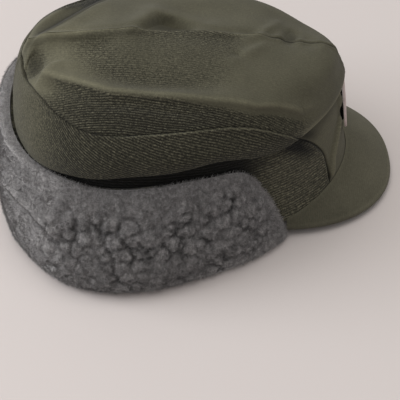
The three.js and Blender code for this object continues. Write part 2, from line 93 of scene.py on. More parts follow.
# Dents and swells of the soft crown, and the long folds and hollows with the places they run through, mm
Dent = namedtuple("Dent", "forward side depth long wide")
CROWN_DENTS = (
    Dent(36, 2, -4.5, 26, 14),
    Dent(-16, -17, -7.0, 14, 11),
    Dent(15, -26, -3.0, 22, 12),
    Dent(-108, 15, -5.0, 9, 9),
    Dent(80, -28, -8.5, 24, 21),
)
Fold = namedtuple("Fold", "rise breadth line")
LONG_FOLD = ((-102, 27), (-80, 40), (-58, 48), (-33, 52), (-2, 55), (32, 56), (62, 52), (80, 42))
CROWN_FOLDS = (
    Fold(4.0, 7, LONG_FOLD),
    Fold(-3.0, 8, ((-84, 9), (-68, 19), (-57, 29), (-45, 37), (-28, 42), (0, 44))),
    Fold(2.0, 7, ((-106, 0), (-50, 0))),
    Fold(3.0, 7, ((-42, -4), (-24, -36))),
    Fold(5.0, 6, ((-113, 5), (-105, 0), (-91, -13), (-67, -42), (-55, -58))),
    Fold(-5.0, 8, ((-112, -14), (-99, -30), (-78, -55), (-66, -66))),
    Fold(2.0, 7, ((26, 20), (42, 6), (58, -10))),
)

# Sharper creases of the crown: height, how far they reach to the left and to the right, and their places, mm
Crease = namedtuple("Crease", "rise left right line")
CROWN_CREASES = (
    Crease(-6.0, 8, 9, ((-113, 3), (-105, -2), (-91, -15), (-67, -44), (-55, -60))),
    Crease(3.0, 1.5, 8, ((-111, 6), (-104, 1), (-91, -10), (-67, -38), (-56, -52))),
    Crease(-5.0, 7, 5, ((-111, -8), (-97, -21), (-76, -46), (-64, -60))),
    Crease(2.5, 5, 4, ((-112, -22), (-102, -36), (-84, -58))),
    Crease(4.6, 9, 2.4, ((-44, 1), (-34, -10), (-27, -21), (-17, -22), (-6, -16), (3, -11))),
    Crease(-4.2, 5, 5, ((-35, -4), (-22, -13), (-2, -9))),
    Crease(1.8, 4, 3, ((24, 8), (36, 2), (50, -14), (56, -26))),
    Crease(-3.4, 4, 4, ((54, 5), (60, -3), (64, -16))),
    Crease(-2.4, 3, 7, ((-98, 5), (-76, 6), (-52, 8))),
    Crease(1.6, 3, 4, ((18, 26), (30, 18), (44, 6))),
    Crease(-1.8, 3, 3, ((20, 16), (29, 25))),
    Crease(3.2, 1.8, 7, ((-106, 33), (-101, 27), (-96, 21), (-88, 20))),
    Crease(-5.0, 7, 5, ((-113, 10), (-105, 21))),
)

# Crisp edge along the long fold, mm
FOLD_EDGE = ((-102, 26), (-90, 33), (-59, 47.5), (-34, 51.5), (-3, 55.5), (32, 57), (61, 50.5), (78, 40))

# Crease of the pile at the rear, by degrees from the front and height in mm
PILE_CREASE = ((118, 34), (124, 39), (137, 45), (149, 46), (159, 41), (168, 36))

# Section of the turned-up flap, distance out from the band and height over the table in mm, and how it
# changes by degrees from the front
PILE_TOP = 72.5
NEAREST = 1.8
CLOTH_LINE = ((1.8, 14), (6.5, 10), (12, 9.5), (16, 14), (16.5, 26), (12, 44), (5.5, 60), (2.0, 70.5))
PILE_LINE = ((0.2, 9), (3, 3.0), (9, 0), (24, 0), (28.6, 5), (30, 13), (29, 26), (23.5, 43), (15.5, 58),
             (9.5, 68), (6, 72), (3.6, 72.4))
FLAP_COLUMNS = "degrees reach rise lean plump"
FLAP_STATIONS = (
    (49.6, 0.10, 0.13, 0, 0),
    (50.4, 0.14, 0.22, 0, 0),
    (51.8, 0.18, 0.35, 0, 0),
    (53.8, 0.23, 0.54, 0, 0),
    (56.4, 0.29, 0.71, 0, 0),
    (59.5, 0.36, 0.88, 0, 0),
    (63.5, 0.43, 0.98, 0, 0),
    (70.0, 0.53, 1.0, 0, 0),
    (78.0, 0.66, 1.0, 0, 0),
    (90.0, 0.90, 0.97, 0, 0),
    (102.0, 0.99, 0.95, 0, 0),
    (120.0, 0.96, 0.96, 1, 0),
    (135.0, 0.83, 0.97, 3, 1.5),
    (150.0, 0.72, 0.99, 6, 4),
    (165.0, 0.68, 1.01, 8, 5),
    (180.0, 0.66, 1.02, 9, 5.5),
)

# Visor, mm: the ends are given by degrees from the front and as a share of the way round
VISOR_FRONT = 137.5
VISOR_HALF_WIDTH = 69
VISOR_CENTRE = 52.5
VISOR_SQUARENESS = 2.25
VISOR_TIP_HEIGHT = 5.6
VISOR_CORNER_HEIGHT = 9.0
VISOR_DOME = 2.2
VISOR_END_DEGREES = 49.2
VISOR_END = 0.985
VISOR_THICK = 2.8
VISOR_EDGE = 1.4
VISOR_EDGE_DROP = 1.1

# Badge and its backing, mm: the level is a share of the band's height
BADGE_LEVEL = 0.53
BADGE_LEAN_DEGREES = 7
BADGE_TURN_DEGREES = 5
BADGE_RADIUS = 17
BADGE_THICK = 2.1
BADGE_EDGE = 0.6
BADGE_EDGE_DROP = 0.55
BADGE_GROOVE = 0.45
BADGE_DOME = 0.35
BADGE_RIM = 2.4
BACKING_RADIUS = 12.2
BACKING_THICK = 1.4
BACKING_EDGE = 0.8
BACKING_EDGE_DROP = 0.3
BACKING_COLOUR = (0.006, 0.006, 0.006)
PIECE_GAP = 0.3

# Fineness of the meshes
CROWN_COLUMNS = 170
CROWN_ROWS = 80
YOKE_ROWS = 44
BAND_COLUMNS = 90
BAND_ROWS = 40
VISOR_COLUMNS = 120
VISOR_ROWS = 34
FLAP_CLOTH_COLUMNS = 180
FLAP_CLOTH_ROWS = 30
PILE_COLUMNS = 460
PILE_ROWS = 100
BADGE_STEPS = 48
BACKING_STEPS = 24
SHARP_DEGREES = 55

# Slope of the twill's ribs at the back and at the front of a panel, and the band's finer scale
CROWN_RIB_SLOPES = (0.0, 0.42)
YOKE_RIB_SLOPES = (0.95, 0.02)
VISOR_RIB_SLOPES = (0.05, 0.05)
LEVEL_RIBS = (0.0, 0.0)
BAND_RIB_SCALE = 0.75

# How smooth the nap of a panel is, 0 ribbed to 1 brushed
SIDE_BAND_NAP = 0.33
FRONT_BAND_NAP = 0.88
FLAP_CLOTH_NAP = 0.2
VISOR_NAP = 1.0

# Short hairs of the pile, mm: lengths and half widths as the least and the spread above it
HAIRS = 58000
HAIR_PIECES = 3
HAIR_SEED = 7
HAIR_LENGTH = (1.6, 2.2)
HAIR_HALF_WIDTH = (0.07, 0.06)
HAIR_LEAN = (0.45, 0.6)
HAIR_SINK = 0.3
HAIR_LEAST_HEIGHT = 0.05
HAIRLESS_BELOW = 2.5
HAIRLESS_TOP = 0.985
# Tone along each hair from root to tip: the darker roots are painted shade.
HAIR_SHADES = (0.35, 0.35, 0.9, 0.9, 1.2)

# Tufts of the pile: size of the curls on them, reach of a dome and breadth of a gap, as shares of a tuft
CURL_SHARE = 0.45
DOME_REACH = 0.85
GAP_BREADTH = 0.24


# Smooth reading of tables and curves

def read_smooth(places, values, at):
    """Value at a place in a table, rounded off between rows."""
    places = np.asarray(places, float)
    values = np.asarray(values, float)
    last = len(places) - 1
    before = np.maximum(np.arange(last + 1) - 1, 0)
    after = np.minimum(np.arange(last + 1) + 1, last)
    slope = (values[after] - values[before]) / (places[after] - places[before])
    row = np.clip(np.searchsorted(places, at, side="right") - 1, 0, last - 1)
    span = places[row + 1] - places[row]
    t = np.clip((at - places[row]) / span, 0, 1)
    t2 = t * t
    t3 = t2 * t
    return ((2 * t3 - 3 * t2 + 1) * values[row] + (t3 - 2 * t2 + t) * span * slope[row]
            + (3 * t2 - 2 * t3) * values[row + 1] + (t3 - t2) * span * slope[row + 1])


def along_points(points, part):
    """Smooth curve through points, each an array whose last axis is the position, at part 0 to 1."""
    points = np.stack(np.broadcast_arrays(*[np.asarray(p, float) for p in points]))
    last = len(points) - 1
    at = np.clip(part, 0, 1) * last
    row = np.minimum(np.floor(at).astype(int), last - 1)
    t = (at - row)[..., None]

    def pick(rows):
        if points.ndim == 2:
            return points[rows]
        grid = np.indices(rows.shape)
        return points[(rows, *grid)]

    p1 = pick(row)
    p2 = pick(row + 1)
    p0 = np.where((row > 0)[..., None], pick(np.maximum(row - 1, 0)), 2 * p1 - p2)
    p3 = np.where((row < last - 1)[..., None], pick(np.minimum(row + 2, last)), 2 * p2 - p1)
    return 0.5 * (2 * p1 + (p2 - p0) * t + (2 * p0 - 5 * p1 + 4 * p2 - p3) * t * t
                  + (3 * p1 - p0 - 3 * p2 + p3) * t * t * t)


def bell(distance, breadth):
    return np.exp(-(distance / breadth) ** 2)


def crest(away, before, after):
    """Ridge that falls off differently on its two sides."""
    return np.where(away < 0, bell(away, before), bell(away, after))


def smooth_step(low, high, x):
    t = np.clip((x - low) / (high - low), 0, 1)
    return t * t * (3 - 2 * t)


def edge_spread(count, pinch=0.85):
    """Parts from 0 to 1, closer together at both ends."""
    t = np.linspace(0, 1, count + 1)
    return t - pinch * np.sin(2 * TURN * t) / (2 * TURN)


def noise_at(points, scale, shift=0.0):
    """Soft noise, about -1 to 1, at an array of points, with bumps of about the given size in mm."""
    flat = np.asarray(points, float).reshape(-1, 3) / scale + shift
    values = np.fromiter((noise.noise(Vector(p)) for p in flat), float, len(flat))
    return values.reshape(np.asarray(points).shape[:-1])


# Forms of the cap: every point is (forward, side, high) in mm, side positive on one hand

def ring_point(ring, angle, lift_power=2):
    c = np.cos(angle)
    s = np.sin(angle)
    front = c > 0
    square = np.where(front, ring.square_front, ring.square_back)
    along = np.abs(c) ** (2 / square)
    across = np.sign(s) * np.abs(s) ** (2 / square)
    end = np.where(front, ring.front, ring.back)
    lift = np.abs(c) ** np.where(front, lift_power, 2)
    high = ring.high_side + (np.where(front, ring.high_front, ring.high_back) - ring.high_side) * lift
    return np.stack([ring.widest + (end - ring.widest) * along, ring.half * across, high], -1)


def edge_rise(angle):
    """How far the crown's lower edge stands higher at an angle, the same on both sides."""
    from_front = np.degrees(np.arccos(np.clip(np.cos(angle), -1, 1)))
    return read_smooth(EDGE_DEGREES, EDGE_RISES, from_front)


def band_point(angle, level):
    foot = ring_point(BAND_FOOT, angle, FOOT_LIFT_POWER)
    top = ring_point(BAND_TOP, angle)
    top[..., 2] += edge_rise(angle)
    return foot + (top - foot) * np.asarray(level)[..., None]


def band_out(angle):
    """Level direction straight out of the band, as (forward, side, 0)."""
    step = 0.01
    run = ring_point(BAND_FOOT, angle + step) - ring_point(BAND_FOOT, angle - step)
    length = np.hypot(run[..., 0], run[..., 1])
    return np.stack([run[..., 1] / length, -run[..., 0] / length, 0 * length], -1)


def crown_relief(forward, side):
    change = np.zeros_like(forward)
    for dent in CROWN_DENTS:
        along = (forward - dent.forward) / dent.long
        across = (side - dent.side) / dent.wide
        change = change + dent.depth * np.exp(-0.5 * (along ** 2 + across ** 2))
    for fold in CROWN_FOLDS:
        away, part = nearest_on(fold.line, forward, side)
        fade = np.sin(TURN * (0.12 + 0.76 * part))
        change = change + fold.rise * fade * np.exp(-0.5 * (away / fold.breadth) ** 2)
    return change


def nearest_on(line, forward, side):
    """Distance from a line of places, negative on its left, and the part of its length nearest."""
    lengths = [math.dist(a, b) for a, b in zip(line, line[1:])]
    best = np.full_like(forward, np.inf)
    part = np.zeros_like(forward)
    hand = np.ones_like(forward)
    before = 0.0
    for start, end, length in zip(line, line[1:], lengths):
        run = ((end[0] - start[0]) / length, (end[1] - start[1]) / length)
        at = np.clip((forward - start[0]) * run[0] + (side - start[1]) * run[1], 0, length)
        away = np.hypot(forward - start[0] - at * run[0], side - start[1] - at * run[1])
        turned = run[0] * (side - start[1]) - run[1] * (forward - start[0])
        hand = np.where(away < best, np.where(turned < 0, -1, 1), hand)
        part = np.where(away < best, (before + at) / sum(lengths), part)
        best = np.minimum(away, best)
        before += length
    return best * hand, part


def crown_detail(forward, side):
    """Height of the sharper creases at a place on the crown."""
    change = np.zeros_like(forward)
    for crease in CROWN_CREASES:
        away, part = nearest_on(crease.line, forward, side)
        fade = np.sin(TURN * (0.06 + 0.88 * part))
        change = change + crease.rise * fade * crest(away, crease.left, crease.right)
    return change


def crown_point(angle, level, hand):
    out = band_out(angle)
    tuck = band_point(angle, TUCK_LEVEL + 0 * angle) + out * TUCK_GAP
    rows = [ring_point(ring, angle) for ring in CROWN_RINGS]
    rise = edge_rise(angle)
    rows[-1][..., 2] += rise
    rows[-2][..., 2] += rise * EDGE_SHARE
    rows.append(tuck)
    point = along_points(rows, level / (len(rows) - 1))
    fade = np.clip((4.2 - level) / 1.6, 0, 1)
    point[..., 2] += crown_relief(point[..., 0], hand * point[..., 1]) * fade
    return point


def seam_level(angle):
    return np.minimum(6.0, read_smooth(SEAM_DEGREES, SEAM_LEVELS, np.degrees(angle)))


def band_seam(level):
    return np.radians(read_smooth(BAND_SEAM_LEVELS, BAND_SEAM_DEGREES, level))


def grid_normals(points):
    """Unit normals of a grid of points."""
    along = np.gradient(points, axis=0)
    down = np.gradient(points, axis=1)
    normal = np.cross(down, along)
    length = np.linalg.norm(normal, axis=-1, keepdims=True)
    return normal / np.maximum(length, 1e-9)


def run_lengths(points, axis):
    """Length along a grid's rows or columns from its first line."""
    step = np.linalg.norm(np.diff(points, axis=axis), axis=-1)
    zero = np.zeros_like(np.take(step, [0], axis=axis))
    return np.concatenate([zero, np.cumsum(step, axis=axis)], axis=axis)


def placed(points, hand=1):
    """World place in metres of forward, side, high in mm."""
    return np.stack([-hand * points[..., 1], MIDDLE - points[..., 0], points[..., 2]], -1) * MM


# Meshes

def build_wall(name, outer, inner, weave, facts, material, body="root"):
    """Closed wall between two grids of world points, with a weave map in mm and named values per point."""
    columns, rows = outer.shape[:2]
    points = np.concatenate([outer.reshape(-1, 3), inner.reshape(-1, 3)])
    index = np.arange(columns * rows).reshape(columns, rows)
    back = index + columns * rows

    def strip(a, b, c, d):
        return np.stack([a.ravel(), b.ravel(), c.ravel(), d.ravel()], -1)

    faces = [
        strip(index[:-1, :-1], index[1:, :-1], index[1:, 1:], index[:-1, 1:]),
        strip(back[:-1, :-1], back[:-1, 1:], back[1:, 1:], back[1:, :-1]),
        strip(index[:-1, 0], back[:-1, 0], back[1:, 0], index[1:, 0]),
        strip(index[:-1, -1], index[1:, -1], back[1:, -1], back[:-1, -1]),
        strip(index[0, :-1], index[0, 1:], back[0, 1:], back[0, :-1]),
        strip(index[-1, :-1], back[-1, :-1], back[-1, 1:], index[-1, 1:]),
    ]
    faces = np.concatenate(faces)
    corner_shadow = points[faces]
    volume = np.einsum("ij,ij->", corner_shadow[:, 0], np.cross(corner_shadow[:, 1], corner_shadow[:, 2])
                       + np.cross(corner_shadow[:, 2], corner_shadow[:, 3]))
    if volume < 0:
        faces = faces[:, ::-1]
    mesh = bpy.data.meshes.new(name)
    mesh.from_pydata(points.tolist(), [], faces.tolist())
    double = np.concatenate([weave.reshape(-1, 2)] * 2)
    layer = mesh.uv_layers.new(name="weave")
    loops = np.empty(len(mesh.loops), int)
    mesh.loops.foreach_get("vertex_index", loops)
    layer.data.foreach_set("uv", double[loops].ravel())
    for fact, values in facts.items():
        attribute = mesh.attributes.new(fact, "FLOAT", "POINT")
        values = np.broadcast_to(values, (columns, rows)).ravel()
        attribute.data.foreach_set("value", np.concatenate([values, values]).astype(np.float32))
    mesh.validate()
    mesh.shade_smooth()
    mesh.set_sharp_from_angle(angle=math.radians(SHARP_DEGREES))
    mesh.materials.append(material)
    piece = bpy.data.objects.new(name, mesh)
    bpy.context.collection.objects.link(piece)
    return piece


def finish_piece(piece, slot, *nodes):
    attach(piece, "root")
    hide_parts(*nodes)


# Materials

class Wire:
    """A shader socket that takes part in sums; each sum adds its Math node."""

    def __init__(self, sheet, socket):
        self.sheet = sheet
        self.socket = socket

    def _math(self, operation, *values):
        return self.sheet.add("ShaderNodeMath", {"operation": operation}, dict(enumerate(values)))

    def __add__(self, other):
        return self._math("ADD", self, other)

    def __radd__(self, other):
        return self._math("ADD", other, self)

    def __sub__(self, other):
        return self._math("SUBTRACT", self, other)

    def __rsub__(self, other):
        return self._math("SUBTRACT", other, self)

    def __mul__(self, other):
        return self._math("MULTIPLY", self, other)

    def __rmul__(self, other):
        return self._math("MULTIPLY", other, self)

    def __pow__(self, other):
        return self._math("POWER", self, other)

    def sin(self):
        return self._math("SINE", self)

    def clamp(self, low=0.0, high=1.0):
        return self._math("MAXIMUM", self._math("MINIMUM", self, high), low)

    def step(self, low, high):
        """Smooth 0 to 1 as the value goes from low to high."""
        values = {"Value": self, "From Min": low, "From Max": high}
        return self.sheet.add("ShaderNodeMapRange", {"interpolation_type": "SMOOTHSTEP"}, values)


class Sheet:
    """Node tree of one material."""

    def __init__(self, name):
        self.material = bpy.data.materials.new(name)
        self.material.use_nodes = True
        self.tree = self.material.node_tree
        self.tree.nodes.clear()

    def add(self, kind, settings=None, values=None, out=0):
        node = self.tree.nodes.new(kind)
        for key, value in (settings or {}).items():
            setattr(node, key, value)
        for key, value in (values or {}).items():
            socket = node.inputs[key]
            if isinstance(value, Wire):
                self.tree.links.new(value.socket, socket)
            else:
                socket.default_value = value
        return Wire(self, node.outputs[out]) if len(node.outputs) else None

    def weave(self):
        """Across-rib and along-rib distances in mm."""
        node = self.tree.nodes.new("ShaderNodeUVMap")
        node.uv_map = "weave"
        split = self.tree.nodes.new("ShaderNodeSeparateXYZ")
        self.tree.links.new(node.outputs[0], split.inputs[0])
        return Wire(self, split.outputs[0]), Wire(self, split.outputs[1])

    def fact(self, name):
        return self.add("ShaderNodeAttribute", {"attribute_name": name}, out="Fac")

    def place(self, scale=(1, 1, 1)):
        """Object coordinates in mm."""
        spot = self.add("ShaderNodeTexCoord", out="Object")
        scaled = tuple(1000 * s for s in scale)
        return self.add("ShaderNodeVectorMath", {"operation": "MULTIPLY"}, {0: spot, 1: scaled})

    def pair(self, x, y):
        return self.add("ShaderNodeCombineXYZ", values={0: x, 1: y})

    def speckle(self, vector, scale, detail=2.0, roughness=0.5):
        return self.add("ShaderNodeTexNoise", values={"Vector": vector, "Scale": scale, "Detail": detail,
                                                      "Roughness": roughness})

    def mix(self, factor, a, b, blend="MIX"):
        settings = {"data_type": "RGBA", "blend_type": blend}
        return self.add("ShaderNodeMix", settings, {0: factor, 6: a, 7: b}, out=2)

    def bump(self, height, distance, strength=1.0):
        values = {"Height": height, "Distance": distance, "Strength": strength}
        return self.add("ShaderNodeBump", values=values)

    def cover(self, **sockets):
        """Ends the tree in a Principled surface."""
        values = {name.replace("_", " "): value for name, value in sockets.items()}
        shader = self.add("ShaderNodeBsdfPrincipled", values=values)
        self.add("ShaderNodeOutputMaterial", values={"Surface": shader})
        return self.material


def tint(color, factor):
    return tuple(min(1.0, c * factor) for c in color[:3]) + (1.0,)


def twill_material(name, color, rib, depth):
    """Ribbed wool twill: ribs at a spacing in mm, broken up by threads, smooth where it is brushed."""
    sheet = Sheet(name)
    across, along = sheet.weave()
    spot = sheet.place()
    nap = sheet.fact("nap")
    wander = sheet.speckle(sheet.pair(across * 0.05, along * 0.05), 1.0)
    sway = sheet.speckle(sheet.pair(across * 0.3, along * 0.14), 1.0)
    dashes = sheet.speckle(sheet.pair(across * (0.7 / rib), along * (0.45 / rib)), 1.0, 2.0, 0.6)
    ribs = (((across + wander * 1.6 + sway * 1.2) * (2 * math.pi / rib)).sin() * 0.5 + 0.5) ** 1.4
    ribs = ribs * (dashes * 2.4 - 0.2)
    threads = sheet.speckle(sheet.pair(across * (1.4 / rib), along * (0.8 / rib)), 1.0, 2.0, 0.6) - 0.5
    fuzz = sheet.speckle(spot, 1.1, 3.0, 0.7) - 0.5
    clouds = sheet.speckle(spot, 0.045, 3.0, 0.6) - 0.5
    plain = nap.step(0.0, 1.0)
    grain = 1.0 - nap.step(0.3, 0.95) * 0.85
    ribbed = 1.0 - nap.step(0.0, 0.85) * 0.96
    # Ribbed cloth is far darker than brushed cloth: partly the ribs' own dark troughs, partly painted shade,
    # as the ribbed panels are the steep sides turned from the light.
    tone = (0.36 + plain * 0.64) * (1.0 + (ribs - 0.42) * ribbed * 1.6)
    tone = tone * (1.0 + threads * grain * 3.3) * (1.0 + fuzz * grain * 4.2) * (1.0 + clouds * 0.5)
    # Paler where the tone mark is set: partly rubbed wear, mostly painted highlights along folds, seams,
    # pleats and edges.
    base = sheet.mix(sheet.fact("tone_mark"), tint(color, 1.0), tint(color, 1.9))
    # Painted shade: the shade value darkens the cloth almost to black in recesses, under overhangs and in
    # grooves, and also draws the darker seam lines.
    base = sheet.mix(sheet.fact("shade"), base, tint(color, 0.08))
    tone = tone.clamp(0.15, 2.5)
    grey = sheet.add("ShaderNodeCombineColor", values={0: tone * 0.5, 1: tone * 0.5, 2: tone * 0.49})
    dyed = sheet.mix(1.0, base, grey, "MULTIPLY")
    dyed = sheet.add("ShaderNodeVectorMath", {"operation": "MULTIPLY"}, {0: dyed, 1: (2.0, 2.0, 2.0)})
    height = (ribs * 0.6 + threads * 2.0) * ribbed + fuzz * grain * 1.6
    normal = sheet.bump(height, depth * MM, 1.0)
    return sheet.cover(Base_Color=dyed, Roughness=0.88 + threads * 0.2, Normal=normal, Sheen_Weight=0.07,
                       Sheen_Roughness=0.6, Specular_IOR_Level=0.1)


def pile_material(name, color):
    """Curly grey pile: painted shade between the tufts, pale with painted light and fuzzy on them."""
    sheet = Sheet(name)
    tuft = sheet.fact("tuft")
    spot = sheet.place()
    curls = sheet.speckle(spot, 0.5, 3.0, 0.65) - 0.5
    hairs = sheet.speckle(spot, 1.5, 3.0, 0.75) - 0.5
    clouds = sheet.speckle(spot, 0.05, 2.0, 0.5) - 0.5
    tone = (0.3 + tuft * 0.9) * (1.0 + curls * 1.2) * (1.0 + hairs * 1.6) * (1.0 + clouds * 0.5)
    tone = tone.clamp(0.1, 2.0) * 0.5
    grey = sheet.add("ShaderNodeCombineColor", values={0: tone, 1: tone, 2: tone})
    dyed = sheet.mix(1.0, tint(color, 2.0), grey, "MULTIPLY")
    normal = sheet.bump(curls * 1.6 + hairs * 1.6, 0.9 * MM, 1.0)
    return sheet.cover(Base_Color=dyed, Roughness=0.95, Normal=normal, Sheen_Weight=0.15,
                       Sheen_Roughness=0.5, Specular_IOR_Level=0.1)


def felt_material(name, color):
    sheet = Sheet(name)
    fuzz = sheet.speckle(sheet.place(), 1.5, 4.0, 0.7)
    dyed = sheet.mix(fuzz, tint(color, 0.5), tint(color, 1.5))
    return sheet.cover(Base_Color=dyed, Roughness=0.95, Normal=sheet.bump(fuzz, 0.3 * MM),
                       Specular_IOR_Level=0.1)


def plate_material(name, color):
    sheet = Sheet(name)
    grain = sheet.speckle(sheet.place(), 0.6, 3.0, 0.6)
    tone_mark = sheet.speckle(sheet.place(), 0.12, 4.0, 0.6)
    # Darker patches where the plate's finish is worn.
    dyed = sheet.mix(tone_mark.step(0.45, 0.7), tint(color, 1.0), tint(color, 0.86))
    return sheet.cover(Base_Color=dyed, Roughness=0.42 + grain * 0.15, Normal=sheet.bump(grain, 0.05 * MM),
                       Specular_IOR_Level=0.4)


def table_material(name, color):
    sheet = Sheet(name)
    clouds = sheet.speckle(sheet.place(), 0.004, 2.0, 0.5)
    dyed = sheet.mix(clouds, tint(color, 0.985), tint(color, 1.015))
    return sheet.cover(Base_Color=dyed, Roughness=0.6, Specular_IOR_Level=0.2)


# Sizes and colours that a user would change

class CapSizes(bpy.types.PropertyGroup):
    rib: bpy.props.FloatProperty(
        name="Twill rib", description="Spacing of the twill's ribs in millimetres", default=1.62, min=0.3)
    rib_depth: bpy.props.FloatProperty(
        name="Rib depth", description="Depth of the twill's ribs in millimetres", default=0.42, min=0.0)
    seam_sink: bpy.props.FloatProperty(
        name="Seam depth", description="How far the seams sink in millimetres", default=0.9, min=0.0)
    wrinkle: bpy.props.FloatProperty(
        name="Wrinkles", description="Height of the soft wrinkles in millimetres", default=0.9, min=0.0)
    tuft: bpy.props.FloatProperty(
        name="Tuft size", description="Breadth of the pile's tufts in millimetres", default=9.6, min=1.0)
    tuft_height: bpy.props.FloatProperty(
        name="Tuft height", description="How far the tufts stand out in millimetres", default=3.0, min=0.0)


class CapColours(bpy.types.PropertyGroup):
    twill: bpy.props.FloatVectorProperty(
        name="Twill", description="Colour of the cap's cloth", subtype="COLOR", size=3,
        default=(0.080, 0.0755, 0.0520), min=0.0, max=1.0)
    visor: bpy.props.FloatVectorProperty(
        name="Visor", description="Colour of the visor's cloth", subtype="COLOR", size=3,
        default=(0.098, 0.0925, 0.0665), min=0.0, max=1.0)
    pile: bpy.props.FloatVectorProperty(
        name="Pile", description="Colour of the flap's pile", subtype="COLOR", size=3,
        default=(0.294, 0.283, 0.283), min=0.0, max=1.0)
    badge: bpy.props.FloatVectorProperty(
        name="Badge", description="Colour of the badge plate", subtype="COLOR", size=3,
        default=(0.55, 0.45, 0.43), min=0.0, max=1.0)
    table: bpy.props.FloatVectorProperty(
        name="Table", description="Colour of the table", subtype="COLOR", size=3,
        default=(0.640, 0.588, 0.572), min=0.0, max=1.0)


def sizes():
    return bpy.context.scene.cap_sizes


def colours():
    return bpy.context.scene.cap_colours


def shared_material(name, maker, *values):
    return bpy.data.materials.get(name) or maker(name, *values)


def cap_twill():
    return shared_material("olive_twill", twill_material, colours().twill, sizes().rib, sizes().rib_depth)


# Weave maps: across the ribs and along them, in mm

def weave_map(along, down, slope_back, slope_front):
    """Rib coordinates on a panel; the ribs' slope changes from the back of the panel to its front."""
    low = along.min()
    length = along.max() - low
    part = (along - low) / length
    drift = (along - low) * (slope_back + 0.5 * (slope_front - slope_back) * part)
    lean = math.atan(0.5 * (slope_back + slope_front))
    across = (down - drift) * math.cos(lean)
    return np.stack([across, along / math.cos(lean)], -1)


# The pieces

def soft_wall(hand, angles, parts, level_at):
    """Grid of a crown panel: its angles, its levels and its points in mm."""
    angle, part = np.meshgrid(angles, parts, indexing="ij")
    level = level_at(angle, part)
    return angle, level, crown_point(angle, level, hand)


def cloth_facts(tone_mark, shade, nap):
    """What the twill's material reads at each place: how much paler it is from wear and painted highlights,
    how dark from seam lines and painted shade, and how smooth it is.
    """
    return {"tone_mark": np.clip(tone_mark, 0, 1), "shade": np.clip(shade, 0, 1), "nap": np.clip(nap, 0, 1)}


def add_cloth_back(points, normals, tuck):
    """Inner face of a cloth wall; at the tucked edge it stands straight above the outer one."""
    inner = points - CLOTH * normals
    lifted = points + np.array([0, 0, CLOTH])
    blend = smooth_step(0.0, 1.0, tuck)[..., None]
    return inner * (1 - blend) + lifted * blend


def keep_side(points):
    points[..., 1] = np.maximum(points[..., 1], HALF_GAP)
    return points


def arc_from(points, line, hand):
    """Distance down the cloth from a line that runs from back to front, below it positive, and its fade."""
    forward = points[..., 0]
    at = np.array(sorted(line), float)
    beyond = hand * points[..., 1] - np.interp(forward, at[:, 0], at[:, 1])
    down = run_lengths(points, 1)
    crossing = np.array([np.interp(0.0, row, run) for row, run in zip(beyond, down)])
    first = at[0, 0]
    last = at[-1, 0]
    fade = smooth_step(first - 6, first + 14, forward) * (1 - smooth_step(last - 24, last, forward))
    return down - crossing[:, None], fade


